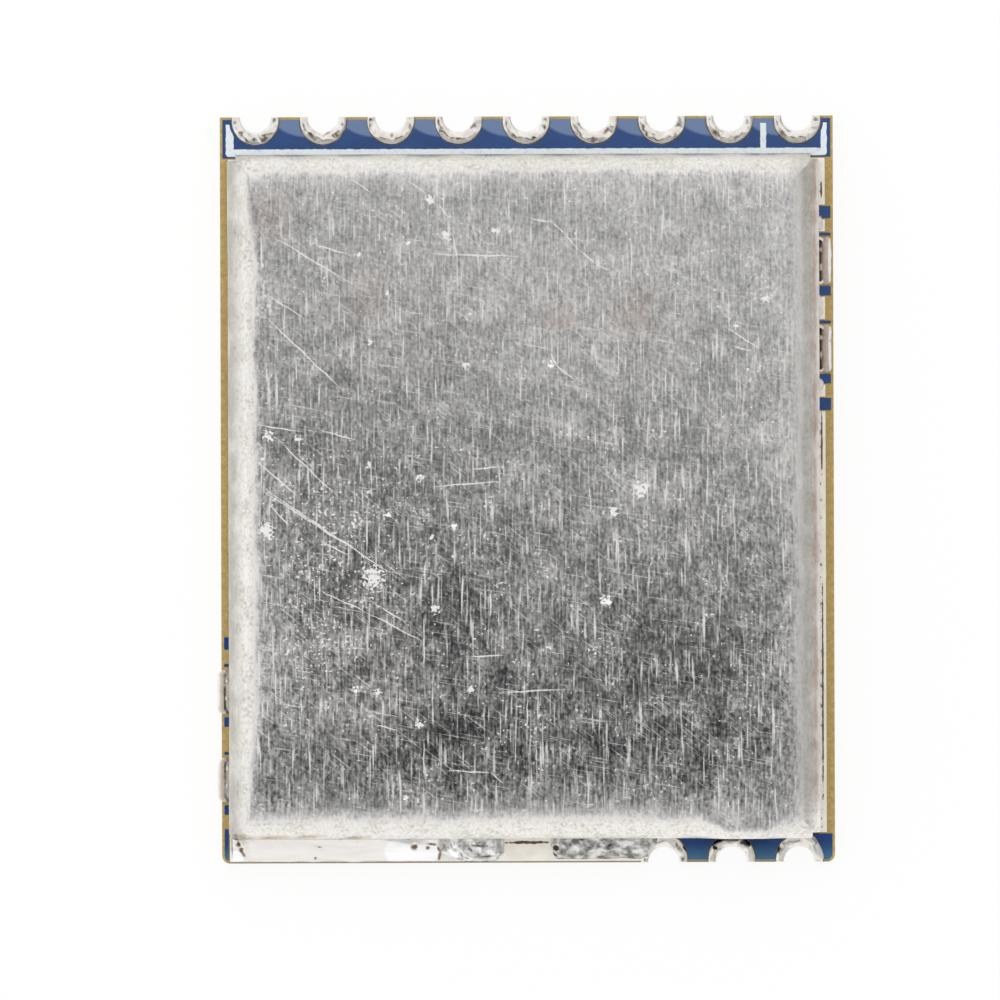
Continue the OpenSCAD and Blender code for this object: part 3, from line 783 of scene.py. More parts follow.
@dataclass(frozen=True)
class SolderMask(Finish):
    """Blue photo lacquer: glossy, faintly peeled, with a painted pale reflection beside each terminal, and
    greener at the sawn edge.
    """

    title: str = "solder-mask lacquer"
    deep: str = "#163669"
    cloudy: str = "#234a82"
    # colour of the painted reflection beside the terminals
    pale: str = "#889cbb"
    edge: str = "#44728f"
    edge_y: tuple[float, float] = (-13.2, -13.95)
    cloud: float = 1.3
    peel: float = 0.5
    dust: float = 0.07
    relief: float = 0.03
    pale_patch_size: tuple[float, float] = (3.3, 2.22)
    pale_patch_place: tuple[float, float] = (-0.55, 14.25)

    def paint(self, graph: Graph, mm: Value) -> Inputs:
        """Lays the lacquer's cloudy colour, the painted pale reflection beside each terminal, and its orange
        peel.

        Args:
            graph: Tree that takes the nodes.
            mm: Object coordinates in millimetres.

        Returns:
            Shader inputs by name.
        """
        clouds, peel, dust = (
            graph.add(Kind.NOISE, {"Vector": mm, "Scale": 1 / size, "Detail": detail})
            for size, detail in ((self.cloud, 3.0), (self.peel, 2.0), (self.dust, 2.0))
        )
        colour = graph.add(
            Kind.MIX, {"Factor": clouds, "A": linear(self.deep), "B": linear(self.cloudy)}, data_type="RGBA"
        )
        shift, pale_y = self.pale_patch_place
        # painted reflection: pale patches beside each terminal
        beside = graph.spots(mm, ((PITCH * k + shift, pale_y, *self.pale_patch_size, 0.0) for k in range(-3, 5)))
        along_y = graph.add(Kind.SEPARATE, {"Vector": mm}).outputs["Y"]
        tints = (
            (beside, 0.05, 0.16, 0.52, self.pale),
            (along_y, *self.edge_y, 0.85, self.edge),
        )
        for pattern, low, high, most, tint in tints:
            share = graph.add(
                Kind.MAP_RANGE,
                {"Value": pattern, "From Min": low, "From Max": high, "To Max": most},
                interpolation_type="SMOOTHSTEP",
            )
            colour = graph.add(Kind.MIX, {"Factor": share, "A": colour, "B": linear(tint)}, data_type="RGBA")
        return {
            "Base Color": colour,
            "Roughness": graph.add(Kind.MAP_RANGE, {"Value": dust, "To Min": 0.12, "To Max": 0.3}),
            "Normal": graph.add(Kind.BUMP, {"Strength": 0.5, "Distance": self.relief * MM, "Height": peel}),
        }


@dataclass(frozen=True)
class WhitePrint(Finish):
    """Screen-printed white ink: matt, a little thin in places so that the blue below shows."""

    title: str = "white screen print"
    ink: str = "#e4ecef"
    thin: str = "#b9c9dc"
    mesh: float = 0.12
    relief: float = 0.008

    def paint(self, graph: Graph, mm: Value) -> Inputs:
        """Lays the thin places and the mesh of the screen.

        Args:
            graph: Tree that takes the nodes.
            mm: Object coordinates in millimetres.

        Returns:
            Shader inputs by name.
        """
        mesh = graph.add(
            Kind.NOISE, {"Vector": mm, "Scale": 1 / self.mesh, "Detail": 3.0, "Roughness": 0.65}
        )
        worn = graph.add(Kind.MAP_RANGE, {"Value": mesh, "From Min": 0.52, "From Max": 0.78})
        return {
            "Base Color": graph.add(
                Kind.MIX, {"Factor": worn, "A": linear(self.ink), "B": linear(self.thin)}, data_type="RGBA"
            ),
            "Roughness": graph.add(Kind.MAP_RANGE, {"Value": mesh, "To Min": 0.45, "To Max": 0.65}),
            "Normal": graph.add(Kind.BUMP, {"Strength": 0.4, "Distance": self.relief * MM, "Height": mesh}),
        }


@dataclass(frozen=True)
class Moulded(Finish):
    """Filled epoxy or fired ceramic: matt, with the fine speckle of its filler."""

    title: str = "black moulding compound"
    body: str = "#222327"
    speck: str = "#3d3e43"
    # real filler is finer; it is drawn as coarse as it needs to show
    grit: float = 0.06
    roughness: float = 0.55
    spread: float = 0.1
    cloud: float = 0.9
    relief: float = 0.006

    def paint(self, graph: Graph, mm: Value) -> Inputs:
        """Lays the filler's speckle and a fine tooth.

        Args:
            graph: Tree that takes the nodes.
            mm: Object coordinates in millimetres.

        Returns:
            Shader inputs by name.
        """
        filler = graph.add(
            Kind.NOISE, {"Vector": mm, "Scale": 1 / self.grit, "Detail": 3.0, "Roughness": 0.7}
        )
        clouds = graph.add(Kind.NOISE, {"Vector": mm, "Scale": 1 / self.cloud, "Detail": 2.0})
        shade = graph.add(Kind.MATH, {0: filler, 1: clouds}, operation="MULTIPLY")
        specked = graph.add(Kind.MAP_RANGE, {"Value": shade, "From Min": 0.12, "From Max": 0.42})
        return {
            "Base Color": graph.add(
                Kind.MIX,
                {"Factor": specked, "A": linear(self.body), "B": linear(self.speck)},
                data_type="RGBA",
            ),
            "Roughness": graph.add(
                Kind.MAP_RANGE,
                {
                    "Value": filler,
                    "To Min": self.roughness - self.spread,
                    "To Max": self.roughness + self.spread,
                },
            ),
            "Normal": graph.add(
                Kind.BUMP, {"Strength": 0.4, "Distance": self.relief * MM, "Height": filler}
            ),
        }


TINPLATE = Tinplate()
SMOOTH_SOLDER = Solder()
SEAM_SOLDER = Solder(
    "hand-laid solder",
    "#fbf8f4",
    "#ebe6e1",
    "#9a8268",
    (1.7, 0.16),
    flux_fade=0.3,
    stains_and_shade=(
        (-4.27, -13.36, 0.5, 0.34, 20.0),
        (-3.77, -13.41, 0.2, 0.2, 0.0),
        (-3.6, -13.27, 0.6, 0.16, -12.0),
        (-3.37, -13.46, 0.46, 0.18, -65.0),
        (-3.34, -13.74, 0.5, 0.18, -94.0),
        (-7.83, -13.37, 0.3, 0.1, 0.0),
        (-8.0, -13.8, 0.14, 0.16, 0.0),
        (-10.72, -13.58, 0.6, 0.15, -60.0),
        (-10.84, -13.24, 0.4, 0.16, -70.0),
    ),
    # painted highlights on the bright blob and on the run's left end
    painted_highlights=((-4.38, -13.55, 2.15, 1.3, 0.0), (-10.98, -13.8, 0.6, 0.62, 0.0)),
    # painted shade where the solder meets the can's wall
    rim=("Y", -13.25, -13.08, 0.12),
)
CRINKLED_SOLDER = Solder(
    "crinkled solder",
    "#fbfaf8",
    "#c4c2bf",
    "#68635c",
    (0.4, 0.28),
    0.14,
    0.008,
    0.62,
    0.5,
    (0.14, 0.36),
    stains_and_shade=(
        (1.03, -13.43, 0.3, 0.3, 0.0),
        (0.93, -13.65, 0.5, 0.1, -36.0),
        (-2.52, -13.7, 0.36, 0.12, -65.0),
        (-2.3, -13.82, 0.3, 0.1, -20.0),
        (-1.58, -13.76, 0.9, 0.13, 4.0),
        (-1.9, -13.35, 0.9, 0.16, -3.0),
    ),
    # painted highlight lightening the run's left end
    painted_highlights=((-3.05, -13.5, 0.9, 1.6, 0.0),),
)
DARK_CRINKLES = replace(
    CRINKLED_SOLDER,
    title="crinkled solder, half wetted",
    bright="#ebeae7",
    dull="#878581",
    flux="#4a443d",
    flux_fade=0.14,
)
TINNED_COPPER = Solder(
    "hot-tinned copper", "#faf7f2", "#e8e2d9", "#6f5c4c", (0.4, 0.4), 0.16, 0.003, 0.72, 0.12, (0.08, 0.3)
)
HALF_HOLE_TIN = replace(
    TINNED_COPPER,
    title="tinned half hole",
    flux="#84705f",
    crinkle=0.24,
    flux_fade=0.5,
    stains_and_shade=HOLE_STAINS,
)
FLUXED_SOLDER = Solder(
    "solder under dried flux",
    "#fbf5e9",
    "#ece3d3",
    "#7a6850",
    (0.3, 0.3),
    0.1,
    0.012,
    0.64,
    0.12,
    (0.35, 0.6),
    0.2,
)
FLAT_TINNING = Solder(
    "dull tinned land", "#fdf9f0", "#f4eee2", "#7d684e", (0.5, 0.5), 0.1, 0.006, 0.7, 0.12, (0.4, 0.6), 0.05
)
RIM_SOLDER = replace(
    FLUXED_SOLDER,
    title="solder with a painted highlight on its rim",
    bright="#ddd0c6",
    dull="#c3b3a6",
    # painted highlight along the outer rim of the right banks
    painted_highlights=((11.38, 8.55, 0.16, 1.9, 0.0), (11.38, 5.25, 0.16, 1.9, 0.0)),
)
RIGHT_TINNING = replace(
    FLAT_TINNING,
    title="tinned land with painted shade at the wall",
    # the flux colour, spots and rim here draw painted shade in the gap along the right wall
    flux="#66574b",
    stains_and_shade=((11.06, 11.25, 0.1, 0.9, 0.0), (11.05, 1.7, 0.09, 2.8, 0.0), (11.06, -7.6, 0.09, 10.4, 0.0)),
    rim=("X", 11.14, 10.96, 0.2),
)
FRONT_TINNING = replace(
    FLAT_TINNING,
    title="tinned land under the seam, with a painted shadow",
    # the flux colour and the spot below draw a painted shadow line under the front wall's foot
    flux="#5a4b3e",
    stains_and_shade=((-0.02, -13.24, 2.5, 0.17, 0.0),),
)
LAMINATE = Laminate()
SOLDER_MASK = SolderMask()
WHITE_PRINT = WhitePrint()
COMPOUND = Moulded()
CERAMIC = Moulded("fired package ceramic", "#8d8a83", "#aaa79f", 0.08, 0.5)
TANTALUM = Moulded("yellow moulding compound", "#b97f22", "#d29a3c", 0.07, 0.5)
FERRITE = Moulded("sintered ferrite", "#2e2c2a", "#4a4744", 0.05, 0.6)
CAPACITOR = Moulded("tan capacitor ceramic", "#8d7352", "#a98d68", 0.06, 0.45)
RESISTOR = Moulded("dark resistor glaze", "#191a1d", "#2b2c30", 0.06, 0.35)


# --------------------------------------------------------------------- pieces


def make_piece(
    name: str, bm: bmesh.types.BMesh, finishes: Sequence[Finish], nodes: Sequence[str], slot: str
) -> bpy.types.Object:
    """Turns a bmesh in millimetres into a dressed piece on the part's only body.

    Args:
        name: Name of the piece.
        bm: Its shape; it is freed here.
        finishes: Its finishes, in the order of its face materials.
        nodes: Solids that it stands for.
        slot: Material slot of the record; not used.

    Returns:
        The piece.
    """
    bmesh.ops.scale(bm, vec=(MM, MM, MM), verts=bm.verts)
    mesh = bpy.data.meshes.new(name)
    bm.to_mesh(mesh)
    bm.free()
    piece = bpy.data.objects.new(name, mesh)
    bpy.context.scene.collection.objects.link(piece)
    for finish in finishes:
        mesh.materials.append(material(finish))
    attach(piece, BODY)
    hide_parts(*nodes)
    return piece


def smooth_faces(bm: bmesh.types.BMesh) -> None:
    """Shades every face of a bmesh smoothly."""
    for face in bm.faces:
        face.smooth = True


def face_outwards(bm: bmesh.types.BMesh) -> None:
    """Turns every face outwards and shades it smoothly."""
    bmesh.ops.recalc_face_normals(bm, faces=bm.faces)
    smooth_faces(bm)


def close_holes(bm: bmesh.types.BMesh) -> None:
    """Fills every open rim."""
    bmesh.ops.holes_fill(bm, edges=[e for e in bm.edges if e.is_boundary], sides=0)


def in_order(bm: bmesh.types.BMesh) -> None:
    """Sorts a bmesh by place, because drawing edges or faces out can leave another order on each run.

    Args:
        bm: Bmesh to sort.
    """
    for parts, spot in (
        (bm.verts, lambda v: v.co[:]),
        (bm.edges, lambda e: sorted(v.co[:] for v in e.verts)),
        (bm.faces, lambda f: f.calc_center_median()[:]),
    ):
        for rank, part in enumerate(sorted(parts, key=spot)):
            part.index = rank
        parts.sort()


def vertices(geom: Iterable) -> list[bmesh.types.BMVert]:
    """Picks the vertices out of what an operator made."""
    return [g for g in geom if isinstance(g, bmesh.types.BMVert)]


def ease_edges(piece: bpy.types.Object, title: str, width: float, angle: float) -> None:
    """Rounds off a piece's sharp edges.

    Args:
        piece: Piece to ease.
        title: Name of the modifier.
        width: Width of the round in millimetres.
        angle: Least angle of an edge that is eased, in degrees.
    """
    eased = piece.modifiers.new(title, "BEVEL")
    eased.width = width * MM
    eased.segments = 2
    eased.limit_method = "ANGLE"
    eased.angle_limit = math.radians(angle)
    eased.harden_normals = True


def swept_solid(stations: int, sides: int, place: Place) -> bmesh.types.BMesh:
    """Wraps a grid into a closed solid: along its sweep one way, round its section the other way.

    Args:
        stations: Cells along the sweep.
        sides: Cells round the section.
        place: Gives the point for a share of the sweep and a share of the section.

    Returns:
        The closed solid.
    """
    bm = bmesh.new()
    bmesh.ops.create_grid(bm, x_segments=stations, y_segments=sides, size=0.5)
    for vert in bm.verts:
        vert.co = place(vert.co.x + 0.5, vert.co.y + 0.5)
    bmesh.ops.remove_doubles(bm, verts=bm.verts, dist=1e-5)
    close_holes(bm)
    face_outwards(bm)
    return bm


def along(points: Sequence[tuple[float, float]], share: float) -> tuple[float, float]:
    """Looks up the point of a closed section at a share of its point count.

    Args:
        points: Points of the section in order.
        share: Nought to one, where both ends are the first point.

    Returns:
        The section's point there.
    """
    return points[round(share * len(points)) % len(points)]


def lump(
    bm: bmesh.types.BMesh, centre: Vector, radii: Vector, rough: float, grain: float
) -> list[bmesh.types.BMVert]:
    """Adds a rounded lump with an uneven skin.

    Args:
        bm: Bmesh that takes the lump.
        centre: Its middle.
        radii: Its three half sizes.
        rough: Unevenness as a share of its radii.
        grain: Size of the unevenness.

    Returns:
        The lump's vertices.
    """
    shape = Matrix.Translation(centre) @ Matrix.Diagonal((*radii, 1.0))
    made = bmesh.ops.create_icosphere(bm, subdivisions=4, radius=1.0, matrix=shape)["verts"]
    for vert in made:
        away = vert.co - centre
        vert.co += away * rough * ripple(vert.co / grain, 3)
    return made


def trim(bm: bmesh.types.BMesh, point: Vector, outward: Vector) -> None:
    """Cuts away what stands beyond a plane and closes the cut.

    Args:
        bm: Bmesh to cut.
        point: Point on the plane.
        outward: Side that is cut away.
    """
    whole = [*bm.verts, *bm.edges, *bm.faces]
    bmesh.ops.bisect_plane(bm, geom=whole, dist=CUT_SLACK, plane_co=point, plane_no=outward, clear_outer=True)
    close_holes(bm)
    for edge in bm.edges:
        if len(edge.link_faces) == 2 and edge.calc_face_angle() > math.radians(RIM_ANGLE):
            edge.smooth = False


@dataclass
class ShieldCan:
    """Can folded from one tinplate blank: flat top, four bent walls, four tabs and an antenna cut-out."""

    sheet: float = 0.2
    bend_r: float = 1.1
    bend_steps: int = 14
    cell: float = 0.5
    foot: float = LAND_TOP
    wall_steps: int = 3
    relief: tuple[float, float] = (0.34, 0.24)
    notch_x: float = 7.62
    notch_w: float = 2.7
    lip_r: float = 0.45
    lip_drop: float = 0.6
    lip_x: float = 8.05
    lip_half: float = 0.55
    lip_blend: float = 1.3
    lip_slope: float = 0.45
    tab_w: float = 1.2
    tab_end: float = 0.12
    tab_spots: tuple[tuple[int, float], ...] = ((1, 8.55), (1, 5.25), (-1, -7.56), (-1, -10.86))
    unevenness: float = 0.13
    widened: tuple[tuple[tuple[int, int], float], ...] = (
        ((-1, 0), 0.34),
        ((0, -1), 0.1),
        ((0, 1), -0.04),
    )
    settled_l: float = 3.0
    waver_l: float = 2.2
    wave_l: float = 7.0
    sag: float = 0.014
    edge: float = 0.025
    edge_angle: float = 60.0

    def __post_init__(self) -> None:
        """Takes the can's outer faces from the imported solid."""
        low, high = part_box("shield_can")
        self.low = low / MM
        self.high = high / MM
        self.middle = (self.low + self.high) / 2
        self.half = (self.high - self.low) / 2

    def radius(self, side: tuple[int, int], run: float) -> float:
        """Gives the outer bend radius of a hand-folded edge.

        Args:
            side: Signs of the wall in x and y.
            run: Place along the wall.

        Returns:
            The radius there; corners keep the plain one.
        """
        if all(side):
            return self.bend_r
        reach = self.half.y if side[0] else self.half.x
        centre = self.middle.y if side[0] else self.middle.x
        fade = smoothstep(0.0, self.settled_l, reach - self.bend_r - abs(run - centre))
        # the second number only sets the four walls' patterns apart
        waver = ripple(Vector((run / self.waver_l, 7.0 * side[0] + 3.0 * side[1], 0.0)), 3)
        wider = dict(self.widened).get(side, 0.0)
        plain = self.bend_r * (1 + self.unevenness * fade * waver) + fade * wider
        if side != (0, -1):
            return plain
        lifted = 1 - smoothstep(0.0, self.lip_blend, abs(run - self.lip_x) - self.lip_half)
        return plain + (self.lip_r - plain) * lifted

    def seat(self, vert: bmesh.types.BMVert, side: tuple[int, int], angle: float, depth: float) -> None:
        """Puts a vertex on its bend or wall.

        Args:
            vert: Vertex to place.
            side: Signs of the wall in x and y.
            angle: How far round the bend it is.
            depth: Share of the straight wall below the bend.
        """
        r = self.radius(side, vert.co.y if side[0] else vert.co.x)
        inward = r * (1 - math.sin(angle))
        for axis in (0, 1):
            if side[axis]:
                vert.co[axis] = self.middle[axis] + side[axis] * (self.half[axis] - inward)
        knee = self.high.z - r * (1 - math.cos(angle))
        vert.co.z = knee + (self.foot - knee) * depth

    def folded_sheet(self) -> bmesh.types.BMesh:
        """Folds the blank: a grid for the top, then its rim drawn down round the bends and walls.

        Returns:
            The outer skin of the can.
        """
        bm = bmesh.new()
        flat = self.half - Vector((self.bend_r, self.bend_r, 0.0))
        place = Matrix.Translation((self.middle.x, self.middle.y, self.high.z))
        bmesh.ops.create_grid(
            bm,
            x_segments=round(2 * flat.x / self.cell),
            y_segments=round(2 * flat.y / self.cell),
            size=0.5,
            matrix=place @ Matrix.Diagonal((2 * flat.x, 2 * flat.y, 1.0, 1.0)),
        )
        tag = bm.verts.layers.int.new("wall")
        sides = [(sx, sy) for sx in (-1, 0, 1) for sy in (-1, 0, 1)]
        rim = [e for e in bm.edges if e.is_boundary]
        for vert in {v for e in rim for v in e.verts}:
            from_middle = (vert.co - self.middle).to_2d()
            side = tuple(
                int(math.copysign(1, d)) if abs(abs(d) - f) < CORNER_SLACK else 0
                for d, f in zip(from_middle, flat)
            )
            vert[tag] = sides.index(side)
            self.seat(vert, side, 0.0, 0.0)
        quarter = math.pi / 2
        steps = [(quarter * k / self.bend_steps, 0.0) for k in range(1, self.bend_steps + 1)]
        steps += [(quarter, k / self.wall_steps) for k in range(1, self.wall_steps + 1)]
        for angle, depth in steps:
            grown = bmesh.ops.extrude_edge_only(bm, edges=rim)["geom"]
            rim = [g for g in grown if isinstance(g, bmesh.types.BMEdge) and g.is_boundary]
            for vert in vertices(grown):
                side = sides[vert[tag]]
                self.seat(vert, side, angle, depth)
                for edge in vert.link_edges:
                    edge.smooth = edge.smooth and not (all(side) and not edge.is_boundary)
        in_order(bm)
        return bm

    def split(
        self, bm: bmesh.types.BMesh, faces: Iterable, point: Sequence[float], normal: Sequence[float]
    ) -> None:
        """Scores some faces along a plane.

        Args:
            bm: Bmesh to score.
            faces: Faces that the plane may cross.
            point: Point on the plane.
            normal: The plane's normal.
        """
        chosen = list(faces)
        parts = (*chosen, *(e for f in chosen for e in f.edges), *(v for f in chosen for v in f.verts))
        geom = list(dict.fromkeys(parts))
        bmesh.ops.bisect_plane(bm, geom=geom, dist=CUT_SLACK, plane_co=point, plane_no=normal)

    def cut_corners(self, bm: bmesh.types.BMesh) -> None:
        """Cuts the small square reliefs where two walls would meet.

        Args:
            bm: The can's skin.
        """
        for axis in (0, 1):
            normal = Vector((1 - axis, axis, 0.0))
            for sign in (-1, 1):
                point = self.middle + normal * sign * (self.half[axis] - self.relief[axis])
                self.split(bm, bm.faces, point, normal)
        gone = []
        for face in bm.faces:
            away = face.calc_center_median() - self.middle
            if all(abs(away[k]) > self.half[k] - self.relief[k] for k in (0, 1)):
                gone.append(face)
        bmesh.ops.delete(bm, geom=gone, context="FACES")

    def cut_notch(self, bm: bmesh.types.BMesh) -> None:
        """Cuts the antenna's opening out of the front wall.

        Args:
            bm: The can's skin.
        """
        top = self.high.z - self.lip_drop
        near = self.low.y + self.relief[1]
        knee = self.lip_x - self.lip_half
        cuts = [((self.notch_x + sign * self.notch_w / 2, 0, 0), (1, 0, 0)) for sign in (-1, 1)]
        cuts += [((knee, 0, 0), (1, 0, 0)), ((0, 0, top), (0, 0, 1))]
        cuts.append(((knee, 0, top), (-self.lip_slope, 0, 1)))
        for point, normal in cuts:
            front = [f for f in bm.faces if f.calc_center_median().y < near]
            self.split(bm, front, point, normal)
        gone = []
        for face in bm.faces:
            centre = face.calc_center_median()
            edge = top - self.lip_slope * max(0.0, knee - centre.x)
            if centre.y < near and centre.z < edge and abs(centre.x - self.notch_x) < self.notch_w / 2:
                gone.append(face)
        bmesh.ops.delete(bm, geom=gone, context="FACES")

    def draw_tabs(self, bm: bmesh.types.BMesh) -> None:
        """Draws the four tabs down from the side walls.

        Args:
            bm: The can's skin.
        """
        for sign, y in self.tab_spots:
            wall = self.middle.x + sign * self.half.x
            for end in (-1, 1):
                beside = [f for f in bm.faces if abs(f.calc_center_median().x - wall) < WALL_SLACK]
                self.split(bm, beside, (0, y + end * self.tab_w / 2, 0), (0, 1, 0))
            edges = []
            for edge in bm.edges:
                mid = (edge.verts[0].co + edge.verts[1].co) / 2
                low = abs(mid.z - self.foot) < CORNER_SLACK and abs(mid.x - wall) < WALL_SLACK
                if low and edge.is_boundary and abs(mid.y - y) < self.tab_w / 2:
                    edges.append(edge)
            grown = bmesh.ops.extrude_edge_only(bm, edges=edges)["geom"]
            for vert in vertices(grown):
                vert.co.z = self.tab_end

    def settle(self, bm: bmesh.types.BMesh) -> None:
        """Gives the top the slight waves of thin sheet.

        Args:
            bm: The can's skin.
        """
        for vert in bm.verts:
            away = [self.half[k] - abs(vert.co[k] - self.middle[k]) for k in (0, 1)]
            inside = smoothstep(self.bend_r, self.bend_r + self.settled_l, min(away))
            wave = ripple(vert.co / self.wave_l, 2)
            vert.co.z -= self.sag * inside * (1 + wave)

    def build(self) -> bpy.types.Object:
        """Makes the can with its sheet's thickness.

        Returns:
            The can.
        """
        bm = self.folded_sheet()
        self.cut_corners(bm)
        self.cut_notch(bm)
        self.draw_tabs(bm)
        self.settle(bm)
        bmesh.ops.recalc_face_normals(bm, faces=bm.faces)
        crown = max(bm.faces, key=lambda f: f.calc_center_median().z)
        if crown.normal.z < 0:
            bmesh.ops.reverse_faces(bm, faces=bm.faces)
        smooth_faces(bm)
        in_order(bm)
        can = make_piece("tinplate_shield_can", bm, [TINPLATE], ["shield_can"], "tinplate")
        wall = can.modifiers.new("sheet", "SOLIDIFY")
        wall.thickness = self.sheet * MM
        wall.offset = -1.0
        ease_edges(can, "sheared edges", self.edge, self.edge_angle)
        return can


@dataclass
class Terminals:
    """Twelve half holes on two board edges, each with a tinned crescent on both faces."""

    pitch: float = PITCH
    long_row: int = 9
    antenna_row: int = 3
    hole_r: float = 0.58
    land_r: float = 0.86
    land_shift: float = 0.16
    edge: float = BOARD_EDGE
    board_top: float = 0.97
    land_top: float = LAND_TOP
    mask_t: float = 0.03
    plating: float = 0.04
    crown: float = 0.22
    crown_power: float = 0.7
    uneven: float = 0.9
    lump_rate: float = 2.2
    roughness: float = 0.05
    rough_rate: float = 2.7
    lap: float = 0.03
    lap_drop: float = 0.01
    rim: float = 0.03
    waist: float = 0.5
    stations: int = 60
    arc_points: int = 14

    def section(self, width: float, swell: float) -> list[tuple[float, float]]:
        """Gives the crescent's section as distance from the hole's wall and height.

        Args:
            width: Width of the crescent there.
            swell: Height of the tin's crown above its land.

        Returns:
            Points in order round the section.
        """
        wide = width + self.lap
        points = [(width, self.board_top), (wide, self.land_top - self.lap_drop)]
        for k in range(1, self.arc_points):
            t = k / self.arc_points
            rise = swell * math.sin(math.pi * t) ** self.crown_power
            points.append((wide * (1 - t), self.land_top + rise))
        points += [(0.0, self.land_top - self.rim), (0.0, self.waist), (0.0, self.rim), (self.rim, 0.0)]
        points += [(width, 0.0), (width, self.mask_t)]
        points += [(self.plating, self.mask_t), (self.plating, self.board_top)]
        return points

    def crescent(self, index: int) -> bmesh.types.BMesh:
        """Sweeps one terminal's section round its half hole.

        Args:
            index: Terminal's number, counted along the long row first.

        Returns:
            The closed solid.
        """
        far = index > self.long_row
        column = index - self.antenna_row if far else index
        x = (column - (self.long_row + 1) / 2) * self.pitch
        side = -1 if far else 1
        lean = math.asin(self.land_shift / self.land_r)

        def place(u: float, v: float) -> Vector:
            """Gives a point of the crescent.

            Args:
                u: Share of the half circle.
                v: Share of the section.

            Returns:
                The point.
            """
            turn = math.pi * u
            wide = (math.pi + 2 * lean) * u - lean
            inner = Vector((math.cos(turn), math.sin(turn))) * self.hole_r
            outer = Vector((math.cos(wide), math.sin(wide))) * self.land_r + Vector((0.0, self.land_shift))
            across = outer - inner
            spot = Vector((x + inner.x, side * (self.edge - inner.y), 0.0))
            uneven = 1 + self.uneven * noise.noise(spot * self.lump_rate + Vector((0.0, 0.0, index)))
            width = across.length
            out, height = along(self.section(width, self.crown * width * uneven), v)
            flat = inner + across * (out / width)
            point = Vector((x + flat.x, side * (self.edge - flat.y), height))
            if height > self.land_top:
                point.z += self.roughness * ripple(point * self.rough_rate, 2)
                point.z = max(point.z, self.land_top)
            return point

        return swept_solid(self.stations, self.arc_points + 9, place)

    def build(self) -> list[bpy.types.Object]:
        """Makes the twelve terminals.

        Returns:
            The terminals in order.
        """
        made = []
        for index in range(1, self.long_row + self.antenna_row + 1):
            node = f"terminal_{index}"
            bm = self.crescent(index)
            made.append(make_piece(f"half_hole_{index}", bm, [HALF_HOLE_TIN], [node], "tinned_copper"))
        return made


class Flow(Enum):
    """How a run of solder froze, with how unevenly it climbs the wall."""

    SMOOTH = 0.06
    CRINKLED = 0.22


